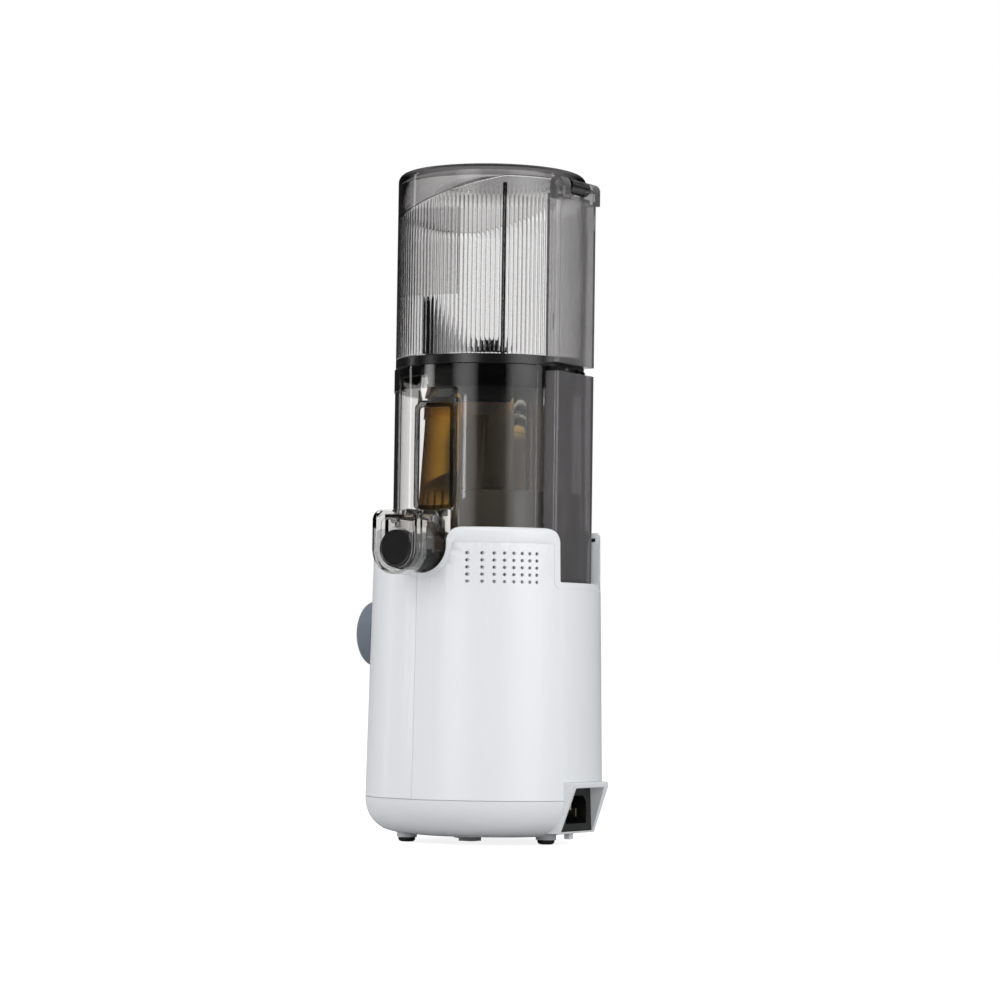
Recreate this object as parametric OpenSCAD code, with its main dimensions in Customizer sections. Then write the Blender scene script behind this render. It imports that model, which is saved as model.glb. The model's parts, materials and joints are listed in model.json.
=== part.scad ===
// Cold press juicer: a round motor base that carries a lift-off juicing tower.
// The origin lies on the drive axis at floor level.
// +X is the juice spout, -Y the front with the knob, +Y the rear, +Z up.
// Millimetres throughout.

/* [Base housing] */
// Width of the shoulders, from the bowl out to their outer face
shoulder_w = 10.8; // [9.5:0.1:15]
// How much wider the housing is at the pan seam than at its shoulders
base_taper = 3.2; // [0:0.1:6]
// Height of the seam between the pan and the housing
seam_z = 28; // [26:0.5:34]
// Height of the deck that the bowl stands on
deck_z = 160; // [150:0.5:180]
// Height of the shoulders over the deck
shoulder_h = 33; // [28:0.5:40]
// Wall of the housing shells
wall = 2.6; // [2:0.1:3.5]
// Front-to-rear place of the seam between cover and housing
cover_seam_y = -7; // [-12:0.5:-4]
// Rounding of the shoulder's top edge
shoulder_edge_r = 3; // [1.5:0.5:5]

/* [Pan and feet] */
// Height of the pan's underside over the floor
pan_z = 6; // [5:0.5:9]
// Height of a rubber foot below its white collar
foot_h = 2.8; // [2:0.1:4]
// Corner radius of the pan
pan_corner_r = 20; // [14:0.5:21]
// Diameter of a rubber foot
foot_d = 10.6; // [8:0.2:16]
// Side-to-side distance between the two front feet
foot_span_x = 64; // [50:1:72]
// Distance of the front feet from the drive axis
foot_front_y = 36; // [30:1:44]
// Distance of the rear foot from the drive axis
foot_rear_y = 45; // [40:1:46]

/* [Rear notch and side cut-out] */
// Height of the floor of the notch over the deck, behind the bin
notch_rise = 0.3; // [0.1:0.1:2]
// Corner radius at the top of the cut-outs
shoulder_corner_r = 9; // [4:0.5:14]
// Room between the spout's channel and its cut-out, at each side
spout_room = 4.1; // [3.4:0.1:6]
// Width of the raised border round the bin's notch
notch_border = 4; // [2:0.5:6]
// Width of the raised border round the spout's cut-out
spout_border = 3; // [2:0.5:5]
// Drop of the groove under the shoulders' top
groove_drop = 10; // [6:0.5:14]

/* [Vents] */
// Diameter of a vent hole
vent_d = 2.1; // [1:0.1:3]
// Columns of vent holes
vent_cols = 8; // [4:1:8]
// Rows of vent holes
vent_rows = 5; // [3:1:6]
// Side-to-side pitch of the vent holes
vent_pitch_x = 3.77; // [3.2:0.01:4]
// Height pitch of the vent holes
vent_pitch_z = 4.3; // [3.2:0.1:4.6]
// Direction of the vent holes, turned from the spout's side to the rear
vent_angle = 62; // [50:1:90]

/* [Knob] */
// Diameter of the knob
knob_d = 41; // [34:0.5:48]
// How far the knob stands out of the cover
knob_out = 12.6; // [9:0.2:16]
// Height of the knob's centre
knob_z = 128.8; // [120:0.2:136]

/* [Mains inlet] */
// Width of the hood round the inlet
hood_w = 45; // [43:0.5:50]
// Height of the hood's upper lip
hood_top_z = 39; // [38:0.5:44]
// Width of the inlet's socket body
inlet_w = 27.6; // [26:0.1:30]
// Height of the inlet's socket body
inlet_h = 19.6; // [18:0.1:22]

/* [Juice bowl] */
// Outer radius of the bowl
bowl_r = 59.7; // [58:0.1:66]
// Wall of the bowl
bowl_wall = 2.2; // [1.6:0.1:3]
// Height of the bowl from its foot to its upper edge
bowl_h = 132.7; // [122:0.1:146]
// Height of the collar at the bowl's upper edge
collar_h = 14; // [10:0.5:18]
// Width of the window panel over the spout
window_w = 29; // [22:0.5:34]
// Drop of the window panel's upper edge under the bowl's
window_drop = 23; // [18:0.5:40]

/* [Spout] */
// Sideways place of the spout's centre line
spout_y = -4; // [-6:0.5:0]
// Width of the spout cap
spout_w = 31; // [29:0.5:32]
// How far the cap's front stands out from the bowl
spout_out = 42.3; // [38:0.5:50]
// Height of the spout cap
spout_h = 38.6; // [36:0.2:43]
// Height of the spout cap's lowest point over the deck
spout_rise = 3; // [2:0.2:4]
// Distance of the cap's pins behind its front
cap_pin_back = 21; // [18:0.5:24]
// Bore of the juice outlet
outlet_d = 18; // [12:0.5:20]

/* [Strainer and auger] */
// Gap between the strainer's rim and the bowl's wall in front of the bin
strainer_room = 2.1; // [1.6:0.1:4]
// How much narrower the strainer is at its foot than at its rim
strainer_taper = 2.2; // [1:0.1:4]
// Wall of the strainer
strainer_wall = 2; // [1.6:0.1:3]
// Height of the strainer
strainer_h = 99.7; // [90:0.1:104]
// Height of the fine slots over the strainer's foot
slot_rise = 22; // [20:0.5:30]
// Length of the fine slots
slot_h = 24; // [10:0.5:50]
// Number of slots round the strainer
strainer_slots = 36; // [12:2:48]
// Diameter of the auger's core at its foot
auger_core_d = 46; // [36:1:54]
// Diameter of the auger's hub at its top
auger_hub_d = 22; // [16:1:28]
// Turns of the auger's flights
auger_turns = 1.6; // [1:0.1:2.4]

/* [Hopper and lid] */
// How far the hopper's wall stands inside the bowl's outline
hopper_inset = 0.7; // [0.2:0.1:2]
// Wall of the hopper
hopper_wall = 2; // [1.6:0.1:3]
// Height of the hopper from its dark ring to its upper edge
hopper_h = 109.7; // [70:0.1:130]
// Height of the dark ring under the hopper
ring_h = 6; // [4:0.5:9]
// Height of the lid's crown over the hopper's edge
lid_rise = 9; // [7:0.5:12]
// Number of flutes round the hopper
flute_count = 130; // [60:2:150]
// Depth of a flute
flute_depth = 0.45; // [0.2:0.05:0.8]
// Slope of the lid's skirt, rising to the rear
skirt_slope = 15; // [10:0.5:18]
// Drop of the skirt's edge under the hopper's top, beside the drive axis
skirt_drop = 10; // [8:0.5:14]
// Width of the dark rib inside the hopper
rib_w = 2.5; // [1.5:0.1:4]
// Place of the dark rib, turned from the spout's side to the rear
rib_angle = 39; // [33:1:45]

/* [Pulp bin] */
// Width of the bin and of the column over it
bin_w = 46.8; // [40:0.2:48]
// How far the bin's rear face stands behind the bowl's outline
bin_out = 2.8; // [1:0.1:5]
// Front-to-rear depth of the bin
bin_depth = 18; // [15:0.5:18.5]
// Drop of the bin's upper edge under the bowl's
bin_drop = 3; // [2:0.5:12]
// Wall of the bin
bin_wall = 1.8; // [1.4:0.1:2.4]

/* [Drive] */
// Gear module
gear_module = 1.25; // [1.1:0.05:1.3]
// Face width of the gears
gear_face = 11; // [8:0.5:12]
// Outer radius of the gearbox housing
gearbox_r = 37; // [36:0.5:40]
// Diameter of the motor shaft
shaft_d = 8; // [6:0.5:9]
// Diameter of the output shaft where it passes the deck
output_d = 14; // [12:0.5:16]
// Width across the flats of the output shaft's hexagon
hex_af = 11; // [9:0.5:12]
// Outer radius of the motor's stator
stator_r = 41; // [38:0.5:44]
// Radius of the motor's rotor
rotor_r = 22; // [18:0.5:24]

/* [Clearances] */
// Radial clearance of a running shaft
run_gap = 0.05; // [0.02:0.01:0.1]
// Gap between lift-off parts
part_gap = 0.4; // [0.3:0.05:0.6]
// Gap between parts that only stand side by side
seat_gap = 0.3; // [0.2:0.05:0.4]

/* [Hidden] */
$fn = 96;
eps = 0.01;
// Beyond every part
far = 200;

// Base
base_r_top = bowl_r + shoulder_w;
base_r_low = base_r_top + base_taper;
shoulder_z = deck_z + shoulder_h;
base_slope = base_taper / (shoulder_z - seam_z);
function base_r(z) = base_r_low - base_slope * (z - seam_z);
notch_z = deck_z + notch_rise;
groove_z = shoulder_z - groove_drop;
groove_w = 0.5;
groove_depth = 0.35;
vent_x = 0.55 * base_r_top;
vent_drop = 16;
well_r = bowl_r + part_gap + 0.4;
knob_y = -base_r(knob_z) - knob_out;
inlet_z = 22;
inlet_wall = 1.3;
inlet_face_y = base_r_low - 9.7;
inlet_flange = 2;
hood_low_z = pan_z + 1.6;
hood_back_y = base_r_low - 19.7;
board_y = 17.7 - base_r_low;
board_half = 27;

// Bowl, spout, strainer and auger
bowl_foot_z = deck_z + seat_gap;
bowl_top_z = bowl_foot_z + bowl_h;
bowl_skin_r = bowl_r - 0.5;
bowl_floor_z = bowl_foot_z + 3;
window_top_z = bowl_top_z - window_drop;
spout_half = spout_w / 2;
spout_reach = bowl_r + spout_out;
spout_low_z = deck_z + spout_rise;
spout_top_z = spout_low_z + spout_h;
spout_axis_z = spout_low_z + spout_half;
channel_half = spout_half - 3;
channel_end_x = spout_reach - 9.6;
spout_gap_half = channel_half + spout_room;
spout_gap_z = spout_axis_z - channel_half - 1.2;
cap_pin_x = spout_reach - cap_pin_back;
cap_pin_z = spout_top_z - 4.8;
cap_pin_r = 1.6;
pulp_port_w = 18;
lug_angles = [50, 170, 290];
pulp_port_z = [bowl_floor_z + 11, bowl_floor_z + 25];
strainer_low_z = bowl_floor_z + 8;
strainer_top_z = strainer_low_z + strainer_h;
guide_top_z = bowl_floor_z + 52.7;
hex_top_z = deck_z + 42;

// Hopper, lid and bin
hopper_r = bowl_r - hopper_inset;
hopper_z = bowl_top_z + seat_gap;
shell_z = hopper_z + ring_h;
hopper_top_z = shell_z + hopper_h;
column_z = hopper_z + 2;
lid_top_z = hopper_top_z + lid_rise;
skirt_mid_z = hopper_top_z - skirt_drop;
skirt_low_z = skirt_mid_z - 10;
skirt_back_y = hopper_r - 19.4;
bin_back_y = bowl_r + bin_out;
bin_top_z = bowl_top_z - bin_drop;
bin_floor_z = notch_z + part_gap;
bowl_pocket_y = bin_back_y - bin_depth - part_gap;
strainer_r = bowl_pocket_y - bowl_wall - strainer_room;
strainer_r_low = strainer_r - strainer_taper;
hinge_z = hopper_top_z - 3.2;
hinge_y = bin_back_y - 2.5;
hinge_r = 4.6;
hinge_pin_r = 1.6;
ear_w = 9.5;
barrel_w = 22;
bridge_h = 5;
skirt_gap = 0.3;
rim_in_r = hopper_r - 2.2;
hopper_in_r = rim_in_r - hopper_wall + 0.8;
column_r = 2.5;
column_wall = 1.8;
wing_z = shell_z + 1;
wing_r = hopper_r - 7;
wing_h = 37;
vane_x = hopper_r - 20;
vane_z = wing_z + wing_h + 1.3;

// Drive, stacked down from the deck
sun_teeth = 12;
planet_teeth = 18;
ring_teeth = sun_teeth + 2 * planet_teeth;
planet_orbit = gear_module * (sun_teeth + planet_teeth) / 2;
planet_pin_r = 2.5;
ring_root_r = gear_module * (ring_teeth / 2 + 1.2);
deck_under_z = deck_z - 3;
gearbox_top_z = deck_under_z - 26;
stage_high_z = gearbox_top_z - gear_face - 6;
stage_low_z = stage_high_z - gear_face - 6;
motor_top_z = stage_low_z - 5;
stator_h = 36;
motor_low_z = motor_top_z - stator_h - 12;
rotor_z = motor_low_z + 6;
rotor_h = stator_h - 12;
gearbox_screw_orbit = gearbox_r - 2.6;
screw_orbit = 50;
screw_angles = [30, 150, 210, 330];

// ---- Shared shapes ----

// A ring between two heights
module ring(r_out, r_in, z_low, z_high) {
  translate([0, 0, z_low])
    difference() {
      cylinder(r = r_out, h = z_high - z_low);
      translate([0, 0, -1]) cylinder(r = r_in, h = z_high - z_low + 2);
    }
}

// A disc between two heights
module disc(r, z_low, z_high) {
  translate([0, 0, z_low]) cylinder(r = r, h = z_high - z_low);
}

// A square-edged block given by its lowest and highest corners
module block(low, high) {
  translate(low) cube(high - low);
}

// A flat outline with rounded corners, centred
module round_rect(w, h, r) {
  union() {
    square([w - 2 * r, h], center = true);
    square([w, h - 2 * r], center = true);
    for (x = [-1, 1], y = [-1, 1])
      translate([x * (w / 2 - r), y * (h / 2 - r)]) circle(r = r, $fn = 32);
  }
}

// The outline of a spur gear with a tooth centred on +X
module gear_outline(teeth, root_drop, tip_rise, share) {
  pitch_r = gear_module * teeth / 2;
  step = 360 / teeth;
  polygon([for (i = [0 : teeth - 1], k = [-2, -1, 1, 2])
    let (r = abs(k) == 2 ? pitch_r - root_drop : pitch_r + tip_rise,
         a = i * step + sign(k) * step * (abs(k) == 2 ? share * 0.66 : share * 0.3))
    r * [cos(a), sin(a)]]);
}

module outer_gear(teeth, h) {
  linear_extrude(h) gear_outline(teeth, 1.2 * gear_module, 0.9 * gear_module, 0.44);
}

// The tooth space of an internal gear, cut from its blank
module inner_gear_cut(teeth, h) {
  linear_extrude(h) rotate(180 / teeth)
    gear_outline(teeth, 0.9 * gear_module, 1.2 * gear_module, 0.62);
}

// A hexagon bar or socket, by its width across the flats
module hex_bar(af, z_low, z_high) {
  translate([0, 0, z_low]) cylinder(d = af / cos(30), h = z_high - z_low, $fn = 6);
}

// ---- Housing ----

// Outside of the base from the seam to the shoulders
module base_outside() {
  rotate_extrude() polygon(concat(
    [[0, seam_z], [base_r_low, seam_z]],
    [for (a = [0 : 15 : 90])
      [base_r(shoulder_z) - shoulder_edge_r * (1 - cos(a)),
       shoulder_z - shoulder_edge_r * (1 - sin(a))]],
    [[0, shoulder_z]]));
}

// Hollow inside the housing, below the deck and inside the shoulders
module base_hollow() {
  rotate_extrude() polygon([
    [0, seam_z - 1], [base_r_low - wall, seam_z - 1], [base_r(deck_z) - wall, deck_z],
    [base_r(shoulder_z) - wall, shoulder_z - wall - 1], [well_r + 2, shoulder_z - wall - 1],
    [well_r + 2, deck_z], [0, deck_z]]);
}

// Round-bottomed cut-out in the shoulders for the spout, wider at its mouth
module spout_gap() {
  r = spout_gap_half;
  c = shoulder_corner_r;
  translate([0, spout_y, 0]) rotate([90, 0, 90]) linear_extrude(base_r_low + 20)
    union() {
      translate([0, spout_gap_z + r]) circle(r = r);
      translate([-r, spout_gap_z + r]) square([2 * r, shoulder_z - spout_gap_z]);
      difference() {
        translate([-r - c, shoulder_z - c]) square([2 * (r + c), c + 1]);
        for (s = [-1, 1]) translate([s * (r + c), shoulder_z - c]) circle(r = c);
      }
    }
}

notch_half = bin_w / 2 + part_gap + 0.5;

// Notch in the rear of the shoulders for the pulp bin, wider at its mouth
module bin_notch(extra = 0, r = 1.2) {
  half = notch_half + extra;
  c = shoulder_corner_r;
  rotate([90, 0, 180]) translate([0, 0, bowl_r / 2]) linear_extrude(base_r_low)
    union() {
      translate([0, (notch_z - extra + shoulder_z) / 2 + 5])
        round_rect(2 * half, shoulder_z - notch_z + extra + 10, r);
      difference() {
        translate([-half - c, shoulder_z - c]) square([2 * (half + c), c + 1]);
        for (s = [-1, 1]) translate([s * (half + c), shoulder_z - c]) circle(r = c);
      }
    }
}

// Area of the border round the cut-outs, which stays clear of the groove
module cutout_borders(extra) {
  bin_notch(notch_border + extra, notch_border);
  r = spout_gap_half + spout_border + extra;
  translate([0, spout_y, 0]) rotate([90, 0, 90]) linear_extrude(base_r_low + 20)
    union() {
      translate([0, spout_gap_z + spout_gap_half]) circle(r = r);
      translate([-r, spout_gap_z + spout_gap_half]) square([2 * r, shoulder_z - spout_gap_z]);
    }
}

// Groove under the shoulders' top, led round the notch and the spout's cut-out
module groove() {
  intersection() {
    difference() {
      base_outside();
      rotate_extrude() polygon([
        [0, seam_z], [base_r_low - groove_depth, seam_z],
        [base_r(shoulder_z) - groove_depth, shoulder_z], [0, shoulder_z]]);
    }
    union() {
      difference() {
        disc(base_r_low, groove_z, groove_z + groove_w);
        cutout_borders(0);
      }
      difference() {
        cutout_borders(groove_w);
        cutout_borders(0);
        disc(base_r_low + 1, groove_z + groove_w, shoulder_z + 1);
      }
    }
  }
}

// Vent holes through both rear shoulders, drilled to the rear and outwards
module vent_holes() {
  for (s = [-1, 1], i = [0 : vent_cols - 1], j = [0 : vent_rows - 1])
    let (x = vent_x + i * vent_pitch_x, top_r = base_r_top - 1)
      translate([s * x, sqrt(top_r * top_r - x * x), shoulder_z - vent_drop - j * vent_pitch_z])
        rotate([90, 0, s * (vent_angle - 90)])
          translate([0, 0, -12]) cylinder(d = vent_d, h = 17, $fn = 16);
}

// Opening in the rear wall for the mains inlet, shared by pan and housing
module hood_gap() {
  block([-hood_w / 2 - 0.1, hood_back_y - 14, -1], [hood_w / 2 + 0.1, far, hood_top_z + 0.1]);
}

// The whole upper shell, still in one piece
module housing_shell() {
  difference() {
    base_outside();
    base_hollow();
    disc(well_r, deck_under_z - 1, shoulder_z + 1);
    spout_gap();
    bin_notch();
    hood_gap();
    groove();
  }
  shell_lugs();
}

// Lugs inside the wall that take the housing screws
module shell_lugs() {
  intersection() {
    at_screws() union() {
      disc(5.5, seam_z, seam_z + 9);
      block([0, -5.5, seam_z], [base_r_low - screw_orbit, 5.5, seam_z + 9]);
    }
    disc(base_r_low - wall + 0.5, seam_z, shoulder_z);
  }
}

// The ledge under the cut-outs, which closes the hollow shoulders there
module cutout_lips() {
  t = 2;
  intersection() {
    difference() {
      disc(base_r(notch_z) - 1, deck_z + 0.05, shoulder_z - 6);
      disc(well_r, deck_z - 1, shoulder_z);
      spout_gap();
      bin_notch();
    }
    union() {
      bin_notch(t);
      translate([0, 0, -t]) spout_gap();
    }
  }
}

module rear_housing() {
  color([0.9, 0.91, 0.92])
    difference() {
      intersection() {
        union() { housing_shell(); cutout_lips(); }
        block([-far, cover_seam_y + 0.1, 0], [far, far, shoulder_z + 1]);
      }
      vent_holes();
      screw_holes();
    }
}

module front_cover() {
  color([0.92, 0.93, 0.94])
    difference() {
      intersection() {
        union() { housing_shell(); cutout_lips(); }
        block([-far, -far, 0], [far, cover_seam_y - 0.1, shoulder_z + 1]);
      }
      translate([0, knob_y - 5, knob_z]) rotate([-90, 0, 0]) cylinder(r = 6, h = 40);
      screw_holes();
    }
}

// Screws that join cover and housing to the pan: heads under the pan's floor
module at_screws() {
  for (a = screw_angles) rotate(a) translate([screw_orbit, 0, 0]) children();
}

// Clearance holes through the lugs inside the shells
module screw_holes() {
  at_screws() translate([0, 0, seam_z - 1]) cylinder(d = 3.4, h = 12, $fn = 24);
}

// Outside of the pan, with its round corner
module pan_outside() {
  r = pan_corner_r;
  rotate_extrude() polygon(concat(
    [[0, seam_z], [0, pan_z]],
    [for (a = [0 : 10 : 90])
      [base_r_low - r + r * sin(a), pan_z + r - r * cos(a)]],
    [[base_r_low, seam_z]]));
}

module pan_hollow() {
  r = pan_corner_r - wall;
  rotate_extrude() polygon(concat(
    [[0, seam_z + 1], [0, pan_z + wall]],
    [for (a = [0 : 15 : 90])
      [base_r_low - pan_corner_r + r * sin(a), pan_z + pan_corner_r - r * cos(a)]],
    [[base_r_low - wall, seam_z + 1]]));
}

// Air slots in the pan's floor
module pan_slots() {
  for (i = [-5 : 5])
    if (abs(i) > 0)
      block([i * 7 - 1.6, -24, pan_z - 2], [i * 7 + 1.6, 24, pan_z + wall + 1]);
}

module bottom_pan() {
  color([0.86, 0.87, 0.88])
    difference() {
      union() {
        difference() {
          union() {
            pan_outside();
            disc(base_r_low - pan_corner_r - 8, pan_z - 1.2, pan_z + 1);
          }
          pan_hollow();
          pan_slots();
          block([-hood_w / 2 - 0.1, hood_back_y - 2, -1], [hood_w / 2 + 0.1, far, seam_z + 1]);
          // Shadow gap under the housing
          ring(base_r_low + 1, base_r_low - 1, seam_z - 0.4, seam_z + 1);
        }
        // Screw posts, which rise to the shells' lugs
        at_screws() disc(5, pan_z, seam_z - 0.2);
        // Posts for the motor's chassis plate
        for (a = [0, 90, 180, 270]) rotate(a + 10) translate([34, 0, 0])
          disc(4.5, pan_z, motor_low_z - 10.2);
        // Rails of the circuit board
        for (s = [-1, 1])
          block([s * (board_half - 3) - 3, board_y - 1, pan_z + 1],
                [s * (board_half - 3) + 3, board_y + 6, seam_z - 2]);
        // Collars that carry the feet, and a stop block under the floor
        at_feet() disc(foot_d / 2 + 1, foot_h, pan_z + 1);
        block([5.8, -8, 0.8], [16.2, 2, pan_z + 1]);
      }
      at_screws() {
        translate([0, 0, pan_z - 5]) cylinder(d = 6.6, h = 8, $fn = 32);
        translate([0, 0, pan_z]) cylinder(d = 3.4, h = seam_z, $fn = 24);
      }
      at_feet() {
        translate([0, 0, 1]) cylinder(d = foot_d - 3.9, h = pan_z + wall, $fn = 32);
        disc(foot_d / 2, pan_z + wall, pan_z + wall + 4);
      }
      // Slot of the circuit board in its rails
      block([-board_half - 0.2, board_y - 0.2, pan_z + 5.8],
            [board_half + 0.2, board_y + 1.8, seam_z + 1]);
    }
}

// Two feet in front and one behind
module at_feet() {
  for (p = [[-foot_span_x / 2, -foot_front_y], [foot_span_x / 2, -foot_front_y], [0, foot_rear_y]])
    translate([p[0], p[1], 0]) children();
}

module rubber_feet() {
  color([0.08, 0.08, 0.08])
    at_feet() {
      rotate_extrude($fn = 48) polygon([
        [0, 0], [foot_d / 2 - 1.8, 0], [foot_d / 2 - 0.6, 0.5], [foot_d / 2, 1.4],
        [foot_d / 2, foot_h - 0.05], [foot_d / 2 - 2, foot_h - 0.05],
        [foot_d / 2 - 2, pan_z + wall + 0.05],
        [foot_d / 2 - 1.4, pan_z + wall + 0.6], [foot_d / 2 - 2.4, pan_z + wall + 1.4],
        [0, pan_z + wall + 1.4]]);
    }
}

module housing_screws() {
  color([0.6, 0.6, 0.62])
    at_screws() {
      disc(3, pan_z + 0.2, pan_z + 2.9);
      disc(1.6, pan_z + 2.9, seam_z + 9);
    }
}

// ---- Mains inlet ----

module inlet_hood() {
  half = hood_w / 2;
  color([0.88, 0.89, 0.9])
    difference() {
      union() {
        rotate([90, 0, 90]) translate([0, 0, -half]) linear_extrude(hood_w)
          polygon([[hood_back_y, hood_low_z], [base_r_low - 7.2, hood_low_z],
                   [base_r_low + 2.5, hood_top_z - 3], [base_r_low + 2.5, hood_top_z - 1],
                   [base_r_low + 1.5, hood_top_z], [hood_back_y, hood_top_z]]);
        // Foot tab under the hood
        block([-2.5, hood_back_y + 5, hood_low_z - 3.8], [2.5, hood_back_y + 9, hood_low_z + 1]);
      }
      // Open mouth in front of the socket
      translate([0, inlet_face_y, 0]) rotate([-90, 0, 0]) linear_extrude(40)
        hood_mouth_outline(0);
      // Seat of the socket in the back wall
      block([-inlet_w / 2 - 0.1, hood_back_y - 4, inlet_z - inlet_h / 2 - 0.1],
            [inlet_w / 2 + 0.1, inlet_face_y + 6, inlet_z + inlet_h / 2 + 0.1]);
      // Hollow behind the wall
      block([-half + 2, hood_back_y - 4, hood_low_z + 2],
            [half - 2, inlet_face_y - 3, hood_top_z - 2]);
    }
}

// Outline of the hood's mouth, wider at its foot
module hood_mouth_outline(inset) {
  polygon([[inset - 17.5, inset - hood_top_z + 3.5], [17.5 - inset, inset - hood_top_z + 3.5],
           [19.5 - inset, -hood_low_z - 1.2 - inset], [inset - 19.5, -hood_low_z - 1.2 - inset]]);
}

// Outline of the socket's recess, with two chamfered upper corners
module inlet_recess_outline(w, h, c) {
  polygon([[-w / 2, -h / 2], [w / 2, -h / 2], [w / 2, h / 2 - c], [w / 2 - c, h / 2],
           [-w / 2 + c, h / 2], [-w / 2, h / 2 - c]]);
}

module power_inlet() {
  color([0.05, 0.05, 0.05])
    difference() {
      union() {
        block([-inlet_w / 2, inlet_face_y - 19.4, inlet_z - inlet_h / 2],
              [inlet_w / 2, inlet_face_y + 1, inlet_z + inlet_h / 2]);
        // Flange that fills the hood's mouth
        translate([0, inlet_face_y + 0.05, 0]) rotate([-90, 0, 0])
          linear_extrude(inlet_flange) hood_mouth_outline(0.1);
      }
      translate([0, inlet_face_y - 16, inlet_z]) rotate([90, 0, 180]) linear_extrude(20)
        inlet_recess_outline(inlet_w - 2 * inlet_wall, inlet_h - 2 * inlet_wall, 4);
      inlet_blades(0.0);
    }
}

// Three blade contacts, from the recess to the solder tags
module inlet_blades(gap) {
  for (p = [[-7, -2], [7, -2], [0, 2]])
    block([p[0] - 1 - gap, inlet_face_y - 22, inlet_z + p[1] - 2.5 - gap],
          [p[0] + 1 + gap, inlet_face_y - 2, inlet_z + p[1] + 2.5 + gap]);
}

module inlet_pins() {
  color([0.75, 0.73, 0.66])
    inlet_blades(-0.05);
}

// ---- Deck, chassis, motor and gearbox ----

module deck_plate() {
  color([0.88, 0.89, 0.9])
    difference() {
      union() {
        disc(base_r(deck_z) - wall - seat_gap, deck_under_z, deck_z);
        // Collar that lifts the shaft seal above a spill
        disc(13, deck_z - 1, deck_z + 4);
      }
      disc(10.05, deck_under_z - 1, deck_z + 5);
      // Sunk screw holes of the gearbox
      at_gearbox_screws() {
        disc(1.7, deck_under_z - 1, deck_z + 1);
        disc(3.1, deck_z - 1.6, deck_z + 1);
      }
    }
}

module at_gearbox_screws() {
  for (a = [45 : 90 : 315]) rotate(a) translate([gearbox_screw_orbit, 0, 0]) children();
}

module chassis_plate() {
  color([0.7, 0.71, 0.73])
    difference() {
      disc(stator_r + 3, motor_low_z - 10, motor_low_z - 7.5);
      disc(12, motor_low_z - 11, motor_low_z);
      for (a = [30 : 60 : 330]) rotate(a) translate([stator_r - 15, 0, 0])
        disc(5, motor_low_z - 11, motor_low_z);
    }
}

module stator_core() {
  color([0.5, 0.5, 0.52])
    difference() {
      disc(stator_r, motor_low_z + 4, motor_low_z + 4 + stator_h - 8);
      disc(rotor_r + 1, motor_low_z, motor_low_z + stator_h + 1);
      // Slots that take the field coils
      for (a = [45 : 90 : 315]) rotate(a)
        block([rotor_r, -6, motor_low_z], [stator_r - 8, 6, motor_low_z + stator_h]);
    }
}

module field_coils() {
  color([0.72, 0.4, 0.16])
    for (a = [45 : 90 : 315]) rotate(a)
      block([rotor_r + 2, -5.7, motor_low_z + 1],
            [stator_r - 8.3, 5.7, motor_low_z + stator_h - 1]);
}

// Frame that holds the lower bearing and clamps the stator to the chassis
module motor_end_frame() {
  color([0.62, 0.63, 0.65])
    difference() {
      union() {
        disc(stator_r, motor_low_z - 7.3, motor_low_z - 4.3);
        disc(14, motor_low_z - 7.3, motor_low_z - 0.5);
        for (a = [0 : 90 : 270]) rotate(a)
          block([stator_r - 6, -5, motor_low_z - 7.3], [stator_r - 0.5, 5, motor_low_z + 3.8]);
      }
      disc(11.02, motor_low_z - 6.3, motor_low_z + 1);
      disc(shaft_d / 2 + 1, motor_low_z - 12, motor_low_z);
      for (a = [22.5 : 45 : 337.5]) rotate(a) translate([stator_r - 14, 0, 0])
        disc(5, motor_low_z - 8, motor_low_z - 4);
    }
}

module bearing(r_out, r_in, z_low, z_high) {
  color([0.8, 0.8, 0.82]) ring(r_out, r_in, z_low, z_high);
}

module lower_bearing() {
  bearing(11, shaft_d / 2 + run_gap, motor_low_z - 6.2, motor_low_z - 0.6);
}

module upper_bearing() {
  bearing(11, shaft_d / 2 + run_gap, motor_top_z - 5.6, motor_top_z);
}

module output_bearing() {
  bearing(13, output_d / 2 + run_gap, deck_under_z - 8, deck_under_z - 0.2);
}

// Gear case with both ring gears cut in its bore, on four legs over the stator
module gearbox_housing() {
  color([0.84, 0.85, 0.87])
    difference() {
      union() {
        disc(gearbox_r, motor_top_z - 6, gearbox_top_z);
        disc(stator_r - 1, motor_top_z - 6, motor_top_z - 2);
        for (a = [0 : 90 : 270]) rotate(a)
          block([stator_r - 7, -4.5, motor_low_z + stator_h - 3.8],
                [stator_r - 1, 4.5, motor_top_z - 3]);
      }
      disc(11.02, motor_top_z - 5.7, motor_top_z + 1);
      disc(shaft_d / 2 + 1, motor_top_z - 8, motor_top_z + 1);
      // Clear bores over and between the two ring gears
      disc(ring_root_r + 0.6, motor_top_z, stage_low_z - 0.5);
      disc(ring_root_r + 0.6, stage_low_z + gear_face + 0.5, stage_high_z - 0.5);
      disc(ring_root_r + 0.6, stage_high_z + gear_face + 0.5, gearbox_top_z + 1);
      translate([0, 0, motor_top_z - 0.5]) inner_gear_cut(ring_teeth, gearbox_top_z - motor_top_z);
      // Blind holes of the cover screws
      at_gearbox_screws() disc(1.4, gearbox_top_z - 10, gearbox_top_z + 1);
    }
}

module gearbox_cover() {
  color([0.8, 0.81, 0.83])
    difference() {
      union() {
        disc(gearbox_r, gearbox_top_z + 0.05, gearbox_top_z + 3);
        disc(16, gearbox_top_z + 1, deck_under_z - 0.1);
        // Posts that carry the deck
        at_gearbox_screws() disc(4, gearbox_top_z + 1, deck_under_z - 0.05);
      }
      disc(13.02, deck_under_z - 8.2, deck_under_z + 1);
      disc(output_d / 2 + 1, gearbox_top_z - 1, deck_under_z);
      at_gearbox_screws() disc(1.7, gearbox_top_z - 1, deck_under_z + 1);
    }
}

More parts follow.
